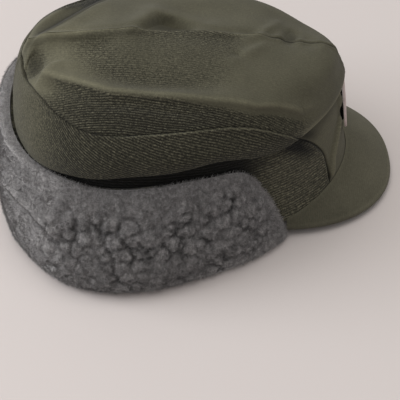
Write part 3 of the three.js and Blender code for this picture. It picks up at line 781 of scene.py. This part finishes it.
class OBJECT_OT_cap_crown(bpy.types.Operator):
    """Builds the two soft top pieces with their puckered middle seam"""
    bl_idname = "object.cap_crown"
    bl_label = "Crown halves"

    def execute(self, context):
        material = cap_twill()
        for name, hand in (("crown_right", 1), ("crown_left", -1)):
            angles = TURN * edge_spread(CROWN_COLUMNS, 0.5)
            angle, level, points = soft_wall(
                hand, angles, edge_spread(CROWN_ROWS, 0.55),
                lambda a, t: t * (seam_level(a) - np.where(seam_level(a) < 5.99, SEAM_GAP, 0)))
            normals = grid_normals(points)
            signed = points * np.array([1, hand, 1])
            forward = points[..., 0]
            from_middle = np.abs(points[..., 1])
            from_crescent = run_lengths(points[:, ::-1], 1)[:, ::-1]
            to_front = smooth_step(5.2, 5.9, seam_level(angle))
            seen = smooth_step(34, 52, forward)
            wobble = noise_at(signed, 14, 3.1)
            pucker = np.sin(forward * 0.5 + 2.5 * wobble) * (0.15 + 0.35 * seen)
            pucker = pucker * bell(from_middle - 3.0, 5.0)
            sunk = 0.5 * bell(from_middle - 2.2, 1.4) - bell(from_middle, 0.7) * sizes().seam_sink
            ridge = 1.0 * bell(from_middle, 4.5 if hand > 0 else 1.4)
            if hand < 0:
                ridge = ridge - 1.0 * bell(from_middle - 4.5, 3.0)
            middle = sunk * seen + ridge * (1 - seen)
            lap = -0.45 * bell(from_crescent, 0.9) * sizes().seam_sink * (1 - to_front)
            soft = noise_at(signed, 34, 7.7) * 0.8 + noise_at(signed * (0.5, 1, 1), 13, 1.3) * 0.4
            creased = crown_detail(forward, hand * points[..., 1]) * smooth_step(4.0, 3.0, level)
            soft = soft * smooth_step(0, 6, from_crescent)
            rise = middle + lap + pucker + soft * sizes().wrinkle + creased
            top = 1 - smooth_step(2.0, 2.5, level)
            fold_highlight = 0.0
            if hand > 0:
                away, fade = arc_from(points, FOLD_EDGE, hand)
                uneven = 0.75 + 0.5 * noise_at(signed, 30, 5.5)
                ahead = smooth_step(-25, 25, forward)
                hollow = (3.2 - 2.0 * ahead) * bell(away - 7.0, 4.5)
                rise = rise + fade * uneven * (2.8 * crest(away, 5.0, 2.0) - hollow)
                # Painted highlight along the crest of the long fold.
                fold_highlight = 0.9 * fade * bell(away + 0.6, 1.6)
                below = smooth_step(0.4 + ahead, 2.4 + 6 * ahead, away)
                top = top * (1 - fade) + (1 - below) * fade
            rise = rise + 0.5 * bell(level - 4.75, 0.22) * to_front
            calm = 1 - smooth_step(5.2, 5.9, level)
            outer = keep_side(points + normals * (rise * calm)[..., None])
            inner = keep_side(add_cloth_back(points, normals, (level - 5.6) / 0.4))
            weave = weave_map(forward, run_lengths(points, 1), *CROWN_RIB_SLOPES)
            swell = crown_relief(forward, hand * points[..., 1]) + creased + soft
            calm_top = np.maximum(top, smooth_step(58, 80, forward))
            nap = 0.12 + (0.55 if hand > 0 else 0.85) * top + 0.3 * smooth_step(-60, -100, forward)
            nap = nap + 0.9 * smooth_step(5, 60, forward) * (0.2 + 0.8 * calm_top)
            # Painted shade and light by the relief: lower nap, so darker ribbed cloth, in the dents, and
            # higher, paler nap on the swells.
            nap = nap + 0.07 * np.clip(swell, -4 if hand > 0 else 0, 4)
            # Painted highlights: light lines on the long fold's crest, along the crown's lower front edge and
            # on the middle seam's edge, partly rubbed wear as well; paler raised creases and a paler back of
            # the top, partly wear and partly painted light.
            back = smooth_step(-45, -95, forward)
            tone_mark = 0.6 * fold_highlight + 0.9 * bell(level - 4.75, 0.3) * to_front + 0.65 * back * top
            tone_mark = tone_mark + bell(from_middle, 1.1) * (0.6 - 0.5 * seen) + 0.15 * smooth_step(1.0, 4.0, creased)
            # Darker seam lines along the crescent seam and the front of the middle seam; painted shade on the
            # rolled-under lower edge and in the dents and grooves.
            shade = (0.6 - 0.35 * smooth_step(-60, -10, forward)) * bell(from_crescent, 0.55) * (1 - to_front)
            shade = shade + 0.95 * bell(from_middle, 0.55) * seen
            shade = shade + 0.6 * smooth_step(5.25, 5.6, level) + 0.12 * np.clip(-creased - 0.8, 0, 3)
            # Painted shade in the recess at the rear and beside the middle seam, and near black in the far
            # rear groove.
            if hand > 0:
                shade = shade + 0.3 * bell(np.hypot(forward + 106, (points[..., 1] - 17) * 0.6), 10.0)
                shade = shade + 0.22 * bell(from_middle - 3.4, 1.6) * smooth_step(-20, -45, forward)
            if hand < 0:
                shade = shade + 0.1 * bell(from_middle - 3.0, 2.0) * bell(forward - 8, 40.0)
                groove, part = nearest_on(CROWN_CREASES[2].line, forward, -points[..., 1])
                shade = shade + 0.9 * bell(groove, 10.0) * smooth_step(0.0, 0.2, part)
            facts = cloth_facts(tone_mark, shade, nap)
            piece = build_wall(name, placed(outer, hand), placed(inner, hand), weave, facts, material)
            finish_piece(piece, "twill", name)
        return {"FINISHED"}


class OBJECT_OT_cap_yokes(bpy.types.Operator):
    """Builds the crescent side panels with their rolled lower edge"""
    bl_idname = "object.cap_yokes"
    bl_label = "Crescent panels"

    def execute(self, context):
        material = cap_twill()
        for name, hand in (("yoke_right", 1), ("yoke_left", -1)):
            tip = math.radians(YOKE_TIP_DEGREES)
            angles = tip + (TURN - tip) * edge_spread(CROWN_COLUMNS, 0.5)
            angle, level, points = soft_wall(
                hand, angles, edge_spread(YOKE_ROWS, 0.4),
                lambda a, t: (seam_level(a) + SEAM_GAP) * (1 - t) + 6 * t)
            normals = grid_normals(points)
            signed = points * np.array([1, hand, 1])
            forward = points[..., 0]
            from_seam = run_lengths(points, 1)
            from_back = np.abs(points[..., 1])
            narrow = smooth_step(0, 14, run_lengths(points, 0))
            lip = 0.6 * bell(from_seam - 1.4, 1.1) - 0.2 * bell(from_seam, 0.5)
            back = 0.4 * bell(from_back - 2.2, 1.5) - bell(from_back, 0.9) * sizes().seam_sink
            soft = noise_at(signed, 30, 5.2) * 0.8 + noise_at(signed, 13, 9.4) * 0.3
            soft = soft * smooth_step(0, 5, from_seam)
            fold = 0.9 * crest(level - 5.0, 0.5, 0.16)
            calm = 1 - smooth_step(5.25, 5.8, level)
            rise = (lip * narrow + back + (soft * sizes().wrinkle + fold) * narrow) * calm
            outer = keep_side(points + normals * rise[..., None])
            inner = keep_side(add_cloth_back(points, normals, (level - 5.6) / 0.4))
            weave = weave_map(-run_lengths(points, 0), from_seam, *YOKE_RIB_SLOPES)
            edge = smooth_step(-75, -20, forward)
            # Painted highlight: a light line along the lip of the crescent seam, where the cloth is also made
            # smoother so that it reads paler, and a faint one on the rolled lower edge.
            lip_highlight = bell(from_seam - 0.65, 0.6) * narrow * edge
            nap = 0.26 + 0.4 * smooth_step(-85, -112, forward) + 0.4 * lip_highlight
            tone_mark = 0.4 * lip_highlight + 0.1 * bell(level - 4.95, 0.12)
            # Darker seam lines, and painted shade, near black, under the rolled lower edge.
            shade = 0.3 * (1 - 0.8 * edge) * bell(from_seam, 0.35) + 0.7 * bell(from_back, 0.5)
            shade = shade + 0.9 * smooth_step(5.05, 5.5, level)
            facts = cloth_facts(tone_mark, shade, nap)
            piece = build_wall(name, placed(outer, hand), placed(inner, hand), weave, facts, material)
            finish_piece(piece, "twill", name)
        return {"FINISHED"}


def band_wall(name, hand, start, end, relief, nap):
    """Band panel between two seams: angle as a function of level, relief and shading from a function."""
    part, level = np.meshgrid(edge_spread(BAND_COLUMNS, 0.7), np.linspace(0, 1, BAND_ROWS + 1), indexing="ij")
    angle = start(level) + (end(level) - start(level)) * part
    points = band_point(angle, level)
    out = band_out(angle)
    rise, tone_mark, shade = relief(points, angle, level)
    above = points[..., 2] - points[:, :1, 2]
    beside = smooth_step(50, 64, np.degrees(np.abs(angle)))
    # Painted shade at the top of the band under the crown's overhang, strongest on the side bands.
    shade = shade + smooth_step(0.68 - 0.16 * beside, 0.88 - 0.14 * beside, level) * (0.3 + 0.7 * beside)
    inner = points - out * CLOTH
    rise = rise * smooth_step(2.0, 6.0, above) + 0.4 * smooth_step(7.0, 4.0, above)
    outer = points + out * (rise * (1 - smooth_step(0.80, 0.92, level)))[..., None]
    if np.all(end(level) == TURN):
        outer = keep_side(outer)
        inner = keep_side(inner)
    weave = BAND_RIB_SCALE * weave_map(-run_lengths(points, 0), points[..., 2], *LEVEL_RIBS)
    facts = cloth_facts(tone_mark, shade, nap)
    piece = build_wall(name, placed(outer, hand), placed(inner, hand), weave, facts, cap_twill())
    finish_piece(piece, "twill", name)


class OBJECT_OT_cap_band(bpy.types.Operator):
    """Builds the front panel and the two side pieces of the band"""
    bl_idname = "object.cap_band"
    bl_label = "Band"

    def execute(self, context):
        for name, hand in (("band_right", 1), ("band_left", -1)):
            def side_relief(points, angle, level, hand=hand):
                from_seam = run_lengths(points, 0)
                signed = points * np.array([1, hand, 1])
                rise = 0.5 * bell(from_seam - 2.0, 1.4) - 0.7 * bell(from_seam, 0.7)
                rise = rise + noise_at(signed, 26, 2.2) * 0.5 * smooth_step(0, 6, from_seam)
                hem = bell(points[..., 2] - points[:, :1, 2] - 3.2, 1.2)
                # Paler overall, with painted highlights on the ridge beside the seam and on the hem at the
                # foot.
                tone_mark = 0.65 + 0.2 * bell(from_seam - 1.8, 1.3) + 0.25 * hem
                # Painted shadow under the crown's overhang near the front seam, with the darker seam line.
                corner_shadow = 0.9 * bell(from_seam - 7, 8) * smooth_step(0.45, 0.72, level)
                return rise, tone_mark, 0.8 * bell(from_seam, 0.6) + corner_shadow

            band_wall(name, hand, lambda level: band_seam(level) + BAND_SEAM_TURN,
                      lambda level: TURN + 0 * level, side_relief, SIDE_BAND_NAP)

        def front_relief(points, angle, level):
            side = points[..., 1]
            near = np.minimum(run_lengths(points, 0), run_lengths(points[::-1], 0)[::-1])
            rise = 0.3 * bell(near - 2.2, 1.4) - 0.7 * bell(near, 0.7)
            pleat = read_smooth(PLEAT_LEVELS, PLEAT_SIDES, level)
            for hand in (1, -0.93):
                rise = rise + 3.0 * bell(side - hand * pleat, 2.4) * smooth_step(0.02, 0.15, level)
            rise = rise + noise_at(points, 22, 8.5) * 0.35
            badge = 1 - smooth_step(14, 19, np.hypot(side, points[..., 2] - badge_plane()[0][2]))
            # Painted highlights on the pleats' ridges and along the foot.
            tone_mark = 0.2 + 0.6 * smooth_step(0.8, 2.6, rise) + 0.4 * bell(level, 0.04)
            # Painted shadow near the top beside the seams, under the crown's overhang, with the darker seam
            # lines.
            corner_shadow = 0.5 * bell(near - 5, 6) * smooth_step(0.62, 0.85, level)
            return rise * (1 - badge), tone_mark, 0.8 * bell(near, 0.6) + corner_shadow

        band_wall("band_front", 1, lambda level: -(band_seam(level) - BAND_SEAM_TURN),
                  lambda level: band_seam(level) - BAND_SEAM_TURN, front_relief, FRONT_BAND_NAP)
        return {"FINISHED"}


def visor_point(across, out):
    turn = across * TURN / 2
    angle = across * math.radians(VISOR_END_DEGREES)
    foot = band_point(angle, 0 * angle)
    inner = foot + band_out(angle) * 0.5 + np.array([0, 0, 2.0])
    power = 2 / VISOR_SQUARENESS
    along = np.cos(turn) ** power
    sideways = np.sign(turn) * np.abs(np.sin(turn)) ** power
    rim = np.stack([VISOR_CENTRE + (VISOR_FRONT - VISOR_CENTRE) * along, VISOR_HALF_WIDTH * sideways,
                    VISOR_CORNER_HEIGHT + (VISOR_TIP_HEIGHT - VISOR_CORNER_HEIGHT) * along], -1)
    point = inner + (rim - inner) * out[..., None]
    point[..., 2] += VISOR_DOME * 4 * out * (1 - out) * np.cos(turn)
    return point


class OBJECT_OT_cap_visor(bpy.types.Operator):
    """Builds the cloth-covered visor"""
    bl_idname = "object.cap_visor"
    bl_label = "Visor"

    def execute(self, context):
        material = shared_material("visor_twill", twill_material, colours().visor, sizes().rib, 0.2)
        sides = np.linspace(-VISOR_END, VISOR_END, VISOR_COLUMNS + 1)
        across, out = np.meshgrid(sides, edge_spread(VISOR_ROWS, 0.8), indexing="ij")
        top = visor_point(across, out)
        from_rim = run_lengths(top[:, ::-1], 1)[:, ::-1]
        round_off = np.minimum(from_rim, VISOR_EDGE) / VISOR_EDGE
        drop = (1 - np.sqrt(np.clip(1 - (1 - round_off) ** 2, 0, 1))) * VISOR_EDGE_DROP
        seam = 0.22 * bell(from_rim - 2.2, 0.8) - 0.12 * bell(from_rim - 3.8, 0.5)
        ripple = noise_at(top, 24, 4.4) * 0.25 * smooth_step(2, 10, from_rim)
        upper = top + np.stack([0 * drop, 0 * drop, -drop + seam + ripple], -1)
        lower = top - np.stack([0 * drop, 0 * drop, VISOR_THICK - drop], -1)
        weave = weave_map(top[..., 1], top[..., 0], *VISOR_RIB_SLOPES)
        # Painted highlights along the rounded rim and along the edge at the band; painted shade towards both
        # ends, which slope away from the light.
        tone_mark = 0.2 * bell(from_rim - 1.6, 1.2) + 0.3 * bell(run_lengths(top, 1), 1.6)
        facts = cloth_facts(tone_mark, 0.3 * smooth_step(0.4, 0.85, np.abs(across)), VISOR_NAP)
        piece = build_wall("visor", placed(upper), placed(lower), weave, facts, material)
        finish_piece(piece, "visor_cloth", "visor")
        return {"FINISHED"}


def flap_station(angle):
    """How the flap swells, stands, leans and thickens at an angle from the front."""
    folded = np.degrees(np.where(angle > TURN, 2 * TURN - angle, angle))
    table = np.array(FLAP_STATIONS)
    return {name: read_smooth(table[:, 0], table[:, k], folded)
            for k, name in enumerate(FLAP_COLUMNS.split()) if k}


def flap_place(angle, out, high):
    foot = band_point(angle, 0 * angle)
    top = band_point(angle, 1 + 0 * angle)
    level = np.clip((high - foot[..., 2]) / (top[..., 2] - foot[..., 2]), 0, 1)
    base = band_point(angle, level)
    point = base + band_out(angle) * out[..., None]
    point[..., 2] = high
    return point


def flap_line(line, angle, part, offset, thick=False):
    """Points of a section line of the flap, or of a line beside it, as forward, side, high."""
    station = flap_station(angle)
    rows = []
    for out, high in line:
        level = min(max(high / PILE_TOP, 0), 1)
        swell = NEAREST + (out - NEAREST) * station["reach"] if out > NEAREST else out + 0 * angle
        extra = station["plump"] * level if thick and out > NEAREST * 2 else 0
        rows.append(np.stack([swell + station["lean"] * level ** 2 + extra, high * station["rise"]], -1))
    point = along_points(rows, part)
    before = along_points(rows, np.maximum(part - 0.01, 0))
    after = along_points(rows, np.minimum(part + 0.01, 1))
    run = after - before
    length = np.linalg.norm(run, axis=-1)
    beside = np.stack([run[..., 1] / length, -run[..., 0] / length], -1)
    point = point + beside * np.broadcast_to(offset, length.shape)[..., None]
    return flap_place(angle, point[..., 0], np.maximum(point[..., 1], 0))


def flap_angles(count, pinch=0.13):
    start = FLAP_STATIONS[0][0]
    t = np.linspace(0, 1, count + 1)
    return np.radians(start + (360 - 2 * start) * (t - pinch * np.sin(2 * TURN * t)))


def flap_slim(angle):
    return np.minimum(CLOTH, 0.6 + flap_station(angle)["rise"] * 2)


class OBJECT_OT_cap_flap_cloth(bpy.types.Operator):
    """Builds the twill side of the ear flap"""
    bl_idname = "object.cap_flap_cloth"
    bl_label = "Flap cloth"

    def execute(self, context):
        down = np.linspace(0, 1, FLAP_CLOTH_ROWS + 1)
        angle, part = np.meshgrid(flap_angles(FLAP_CLOTH_COLUMNS), down, indexing="ij")
        slim = flap_slim(angle) / 2
        outer = flap_line(CLOTH_LINE, angle, part, slim)
        inner = flap_line(CLOTH_LINE, angle, part, -slim)
        weave = weave_map(run_lengths(outer, 0), run_lengths(outer, 1), *LEVEL_RIBS)
        facts = cloth_facts(0, 0, FLAP_CLOTH_NAP)
        piece = build_wall("flap_cloth", placed(outer), placed(inner), weave, facts, cap_twill())
        finish_piece(piece, "twill", "flap_cloth")
        return {"FINISHED"}


def tuft_field(points, size, shift):
    """Rounded tufts about a size apart in mm: how high each place stands and how deep in a gap."""
    flat = points.reshape(-1, 3)
    warp = np.stack([noise_at(flat, size * 0.9, shift + 11.0 + k) for k in range(3)], -1) * size * 0.3
    dome = np.empty(len(flat))
    gap = np.empty(len(flat))
    for k, spot in enumerate((flat + warp) / size + shift):
        distances, _ = noise.voronoi(Vector(spot))
        dome[k] = 1.0 - min(1.0, distances[0] / DOME_REACH) ** 2
        gap[k] = distances[1] - distances[0]
    shape = points.shape[:-1]
    return dome.reshape(shape), 1 - smooth_step(0.0, GAP_BREADTH, gap.reshape(shape))


def curly_face(angle, outer, normals, part, rise):
    """Pile face raised into tufts; returns its points, how pale each place is, with painted shade and light,
    and how curly it is.
    """
    size = sizes().tuft
    dome, gap = tuft_field(outer, size, 0.0)
    curl, nick = tuft_field(outer, size * CURL_SHARE, 40.0)
    height = outer[..., 2]
    high = height / (PILE_TOP * rise)
    body = smooth_step(0.96, 0.66, high)
    turned = np.degrees(np.minimum(angle, 2 * TURN - angle))
    middle = smooth_step(54, 64, turned) * smooth_step(134, 116, turned)
    patch = smooth_step(-0.5, 0.2, noise_at(outer, 34, 21.0))
    wild = 0.08 + 0.92 * body * (0.12 + 0.88 * middle) * (0.5 + 0.5 * patch)
    rough = noise_at(outer, 13, 3.0) + 0.3 * bell(turned - 98, 16) * bell(high - 0.55, 0.3)
    torn = smooth_step(-0.15, 0.35, rough)
    gap = gap * (0.2 + 0.8 * torn)
    lift = ((dome - 0.6) * sizes().tuft_height * 0.9 - gap * 1.9) * wild
    lift = lift + ((curl - 0.6) * 1.1 - nick * 0.4) * wild
    lift = lift + noise_at(outer, 26, 6.0) * 1.2 * body + noise_at(outer, 2.4, 2.0) * 0.3
    line = np.array(PILE_CREASE, float)
    degrees = np.degrees(angle)
    beside = height - np.interp(degrees, line[:, 0], line[:, 1])
    creased = smooth_step(line[0, 0], line[1, 0], degrees) * smooth_step(line[-1, 0], line[-2, 0], degrees)
    lift = lift + creased * (2.2 * crest(beside, 1.6, 7.0) - 1.2 * bell(beside + 4, 3.0))
    edge = smooth_step(0, 0.05, part) * smooth_step(1, 0.97, part)
    on_table = smooth_step(1.0, 7, height)
    moved = outer + normals * (lift * edge * on_table)[..., None]
    moved[..., 2] = moved[..., 2] - 2.6 * bell(turned - 98, 17) * smooth_step(0.5, 1.0, high)
    moved[..., 2] = np.maximum(moved[..., 2], 0)
    # Paler where the pile lies smoother, at its top edge, rear lobe and front end: partly the smoother pile's
    # own paler look, partly painted light.
    smooth = 0.16 * (1 - body) + 0.5 * smooth_step(112, 132, turned) + 0.3 * smooth_step(66, 54, turned)
    # Painted shade in the gaps between the tufts and curls, and painted light on their domes.
    pale = 0.67 + (0.3 * dome - 1.0 * gap + 0.22 * curl - 0.3 * nick) * wild + smooth
    # Painted highlight on the rim of the rear crease and painted shade just below it.
    pale = pale + creased * (0.25 * bell(beside - 1.0, 1.6) - 0.12 * bell(beside + 2.6, 1.3))
    # Painted light near the table, standing in for light thrown up from it.
    pale = pale + 0.45 * bell(height, 10)
    # Painted light on the rear lobe below the crease, which faces away from the light.
    pale = pale + 0.5 * smooth_step(118, 134, turned) * smooth_step(2, -4, beside)
    return moved, np.clip(pale, 0, 1.5), wild


def add_hairs(name, face, normals, pale, wild, count, seed):
    """Short curved hairs spread over a pile face given in mm, joined into one piece."""
    rng = np.random.default_rng(seed)
    columns, rows = face.shape[:2]
    along = face[1:, :-1] - face[:-1, :-1]
    down = face[:-1, 1:] - face[:-1, :-1]
    area = np.linalg.norm(np.cross(along, down), axis=-1)
    centre = 0.25 * (face[1:, :-1] + face[:-1, :-1] + face[1:, 1:] + face[:-1, 1:])
    area = area * (centre[..., 2] > HAIRLESS_BELOW)
    area[:, int(rows * HAIRLESS_TOP):] = 0
    cell = rng.choice(area.size, count, p=(area / area.sum()).ravel())
    i, j = np.unravel_index(cell, area.shape)
    root = face[i, j] + along[i, j] * rng.random((count, 1)) + down[i, j] * rng.random((count, 1))
    normal = normals[i, j]
    tone = pale[i, j]
    curly = wild[i, j]
    across = along[i, j] / np.linalg.norm(along[i, j], axis=-1, keepdims=True)
    beside = np.cross(normal, across)
    spread = (rng.random(count) - 0.5) * (0.4 + 0.6 * curly)
    swirl = TURN * (0.5 + curly * noise_at(root, 6, 55.0) * 2.4 + spread)
    flow = across * np.cos(swirl)[:, None] + beside * np.sin(swirl)[:, None]
    turned = across * np.cos(swirl + 1.3)[:, None] + beside * np.sin(swirl + 1.3)[:, None]
    length = (HAIR_LENGTH[0] + HAIR_LENGTH[1] * rng.random((count, 1)))
    length = length * (0.4 + 0.6 * np.minimum(tone, 0.8)[:, None])
    lean = HAIR_LEAN[0] + HAIR_LEAN[1] * rng.random((count, 1))
    first = normal * lean + flow * 0.8
    second = normal * (lean - HAIR_LEAN[0]) + turned * 0.9
    middle = root + first * length * 0.5
    tip = middle + second * length * 0.5
    width = np.cross(first, normal + 0.3 * flow)
    width = width / np.maximum(np.linalg.norm(width, axis=-1, keepdims=True), 1e-6)
    width = width * (HAIR_HALF_WIDTH[0] + HAIR_HALF_WIDTH[1] * rng.random((count, 1)))
    root = root - normal * HAIR_SINK
    points = np.stack([root - width, root + width, middle + width * 0.8, middle - width * 0.8, tip], 1)
    points[..., 2] = np.maximum(points[..., 2], HAIR_LEAST_HEIGHT)
    start = 5 * np.arange(count)[:, None]
    faces = (start + np.array([0, 1, 2, 3])).tolist() + (start + np.array([3, 2, 4])).tolist()
    mesh = bpy.data.meshes.new(name)
    mesh.from_pydata(placed(points.reshape(-1, 3)).tolist(), [], faces)
    lock = noise_at(root, 1.7, 33.0) * 0.42 + 0.18 * rng.standard_normal(count)
    # Hair tone from the pile's tone and a random lock tone, darker at the root as painted shade.
    shade = np.clip(tone + lock, 0.05, 1.4)[:, None] * np.array(HAIR_SHADES)
    attribute = mesh.attributes.new("tuft", "FLOAT", "POINT")
    attribute.data.foreach_set("value", shade.ravel().astype(np.float32))
    mesh.materials.append(shared_material("curly_pile", pile_material, colours().pile))
    mesh.shade_smooth()
    piece = bpy.data.objects.new(name, mesh)
    bpy.context.collection.objects.link(piece)
    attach(piece, "root")


class OBJECT_OT_cap_flap_pile(bpy.types.Operator):
    """Builds the curly pile of the turned-up flap with its short hairs"""
    bl_idname = "object.cap_flap_pile"
    bl_label = "Flap pile"

    def execute(self, context):
        angle, part = np.meshgrid(flap_angles(PILE_COLUMNS), np.linspace(0, 1, PILE_ROWS + 1), indexing="ij")
        outer = flap_line(PILE_LINE, angle, part, 0.0, thick=True)
        inner = flap_line(CLOTH_LINE, angle, part, flap_slim(angle) / 2 + PIECE_GAP)
        normals = grid_normals(outer)
        if np.sum(normals * (outer - inner)) < 0:
            normals = -normals
        moved, pale, wild = curly_face(angle, outer, normals, part, flap_station(angle)["rise"])
        weave = np.stack([run_lengths(outer, 0), run_lengths(outer, 1)], -1)
        material = shared_material("curly_pile", pile_material, colours().pile)
        piece = build_wall("flap_pile", placed(moved), placed(inner), weave, {"tuft": pale}, material)
        finish_piece(piece, "grey_pile", "flap_pile")
        fine = grid_normals(moved)
        if np.sum(fine * normals) < 0:
            fine = -fine
        for k in range(HAIR_PIECES):
            add_hairs(f"pile_hairs_{k + 1}", moved, fine, pale, wild, HAIRS, HAIR_SEED + k)
        return {"FINISHED"}


def badge_plane():
    """Middle of the badge on the band, and its directions across, up and out, in mm."""
    lean = math.radians(BADGE_LEAN_DEGREES)
    turn = math.radians(BADGE_TURN_DEGREES)
    across = np.array([-math.sin(turn), math.cos(turn), 0])
    out = np.array([math.cos(lean) * math.cos(turn), math.cos(lean) * math.sin(turn), math.sin(lean)])
    return band_point(np.array(0.0), np.array(BADGE_LEVEL)), across, np.cross(out, across), out


def band_fall(side, up):
    """How far the band lies behind the badge's plane at places on it."""
    middle, across, rising, out = badge_plane()
    top = band_point(np.array(0.0), np.array(1.0))
    fall = np.zeros_like(side)
    for _ in range(3):
        near = middle + side[..., None] * across + up[..., None] * rising - fall[..., None] * out
        level = BADGE_LEVEL + (near[..., 2] - middle[2]) * (1 - BADGE_LEVEL) / (top[2] - middle[2])
        half = BAND_FOOT.half + (BAND_TOP.half - BAND_FOOT.half) * level
        fall = fall + (near - band_point(np.arcsin(near[..., 1] / half), level)) @ out
    return fall


def round_wall(name, radius, near, far, follow_band, profile, material, steps):
    """Round piece on the front panel; profile gives the relief of its face by distance from its middle."""
    middle, across, rising, out = badge_plane()
    u, v = np.meshgrid(np.linspace(-1, 1, steps + 1), np.linspace(-1, 1, steps + 1), indexing="ij")
    side = radius * u * np.sqrt(1 - v * v / 2)
    up = radius * v * np.sqrt(1 - u * u / 2)
    from_middle = np.hypot(side, up)

    def at(distance):
        return middle + side[..., None] * across + up[..., None] * rising + distance[..., None] * out

    front = at(far + profile(from_middle))
    back = at(near - (band_fall(side, up) if follow_band else 0 * side))
    weave = np.stack([side, up], -1)
    return build_wall(name, placed(front), placed(back), weave, {}, material)


class OBJECT_OT_cap_badge(bpy.types.Operator):
    """Builds the badge plate and its black backing"""
    bl_idname = "object.cap_badge"
    bl_label = "Badge"

    def execute(self, context):
        felt = shared_material("backing_felt", felt_material, BACKING_COLOUR)

        def pad(r):
            return -BACKING_EDGE_DROP * smooth_step(BACKING_RADIUS - BACKING_EDGE, BACKING_RADIUS, r)

        backing = round_wall("badge_backing", BACKING_RADIUS, PIECE_GAP, PIECE_GAP + BACKING_THICK, True, pad,
                             felt, BACKING_STEPS)
        finish_piece(backing, "black_felt", "badge_backing")
        near = 2 * PIECE_GAP + BACKING_THICK

        def face(r):
            edge = -BADGE_EDGE_DROP * smooth_step(BADGE_RADIUS - BADGE_EDGE, BADGE_RADIUS, r)
            groove = -BADGE_GROOVE * bell(r - (BADGE_RADIUS - BADGE_RIM), 0.7)
            return edge + groove - BADGE_DOME * smooth_step(0, BADGE_RADIUS - 3, r)

        plate = shared_material("satin_plate", plate_material, colours().badge)
        badge = round_wall("badge", BADGE_RADIUS, near, near + BADGE_THICK, False, face, plate, BADGE_STEPS)
        finish_piece(badge, "badge_plate", "badge")
        return {"FINISHED"}


# Table, in metres: how far it reaches, and how little it lies under the cap
TABLE_REACH = 3.0
TABLE_DROP = 0.0002

# Camera at the photograph's angle: places, lens and sensor in mm
CAMERA_PLACE = (-599.9, 29.1, 631.7)
CAMERA_TARGET = (-32.0, -0.6, 0.0)
CAMERA_LENS = 107.9
SENSOR_WIDTH = 36.0

# Soft room light, a large window behind the cap and a ceiling light; places and sizes in metres
ROOM_COLOUR = (1.0, 0.98, 0.96, 1)
ROOM_STRENGTH = 0.43
Light = namedtuple("Light", "name place target size power color")
LIGHTS = (
    Light("window", (0.25, 2.2, 0.95), (0, 0, 0.05), 1.5, 40.0, (0.95, 0.975, 1.0)),
    Light("ceiling", (0.1, 0.2, 2.0), (0, 0, 0.0), 2.2, 23.0, (1.0, 0.98, 0.95)),
)


def aim(thing, place, target):
    thing.location = place
    thing.rotation_euler = (Vector(target) - Vector(place)).to_track_quat("-Z", "Y").to_euler()


class OBJECT_OT_cap_stage(bpy.types.Operator):
    """Sets the table, the lights and the camera"""
    bl_idname = "object.cap_stage"
    bl_label = "Table, lights and camera"

    def execute(self, context):
        scene = context.scene
        mesh = bpy.data.meshes.new("table")
        corners = [(x * TABLE_REACH, y * TABLE_REACH, 0) for x, y in ((-1, -1), (1, -1), (1, 1), (-1, 1))]
        mesh.from_pydata(corners, [], [(0, 1, 2, 3)])
        mesh.materials.append(shared_material("table_top", table_material, colours().table))
        table = bpy.data.objects.new("table", mesh)
        table.location.z = -TABLE_DROP
        scene.collection.objects.link(table)
        for light in LIGHTS:
            data = bpy.data.lights.new(light.name, "AREA")
            data.size = light.size
            data.energy = light.power
            data.color = light.color
            lamp = bpy.data.objects.new(light.name, data)
            aim(lamp, light.place, light.target)
            scene.collection.objects.link(lamp)
        world = bpy.data.worlds.new("room")
        world.use_nodes = True
        background = world.node_tree.nodes["Background"]
        background.inputs["Color"].default_value = ROOM_COLOUR
        background.inputs["Strength"].default_value = ROOM_STRENGTH
        scene.world = world
        camera = bpy.data.objects.new("camera", bpy.data.cameras.new("camera"))
        camera.data.lens = CAMERA_LENS
        camera.data.sensor_width = SENSOR_WIDTH
        aim(camera, Vector(CAMERA_PLACE) * MM, Vector(CAMERA_TARGET) * MM)
        scene.collection.objects.link(camera)
        scene.camera = camera
        scene.view_settings.view_transform = "Standard"
        return {"FINISHED"}


OPERATORS = (
    OBJECT_OT_cap_crown,
    OBJECT_OT_cap_yokes,
    OBJECT_OT_cap_band,
    OBJECT_OT_cap_visor,
    OBJECT_OT_cap_flap_cloth,
    OBJECT_OT_cap_flap_pile,
    OBJECT_OT_cap_badge,
    OBJECT_OT_cap_stage,
)


class VIEW3D_PT_cap(bpy.types.Panel):
    """Lists the cap's pieces and settings"""
    bl_idname = "VIEW3D_PT_cap"
    bl_label = "Winter field cap"
    bl_space_type = "VIEW_3D"
    bl_region_type = "UI"
    bl_category = "Cap"

    def draw(self, context):
        for group in (context.scene.cap_sizes, context.scene.cap_colours):
            for key in group.__annotations__:
                self.layout.prop(group, key)
        for operator in OPERATORS:
            self.layout.operator(operator.bl_idname)


CLASSES = (CapSizes, CapColours, *OPERATORS, VIEW3D_PT_cap)


def register():
    for cls in CLASSES:
        bpy.utils.register_class(cls)
    bpy.types.Scene.cap_sizes = bpy.props.PointerProperty(type=CapSizes)
    bpy.types.Scene.cap_colours = bpy.props.PointerProperty(type=CapColours)


def unregister():
    del bpy.types.Scene.cap_sizes
    del bpy.types.Scene.cap_colours
    for cls in reversed(CLASSES):
        bpy.utils.unregister_class(cls)


def main():
    register()
    for operator in OPERATORS:
        group, name = operator.bl_idname.split(".")
        getattr(getattr(bpy.ops, group), name)()


if __name__ == "__main__":
    main()
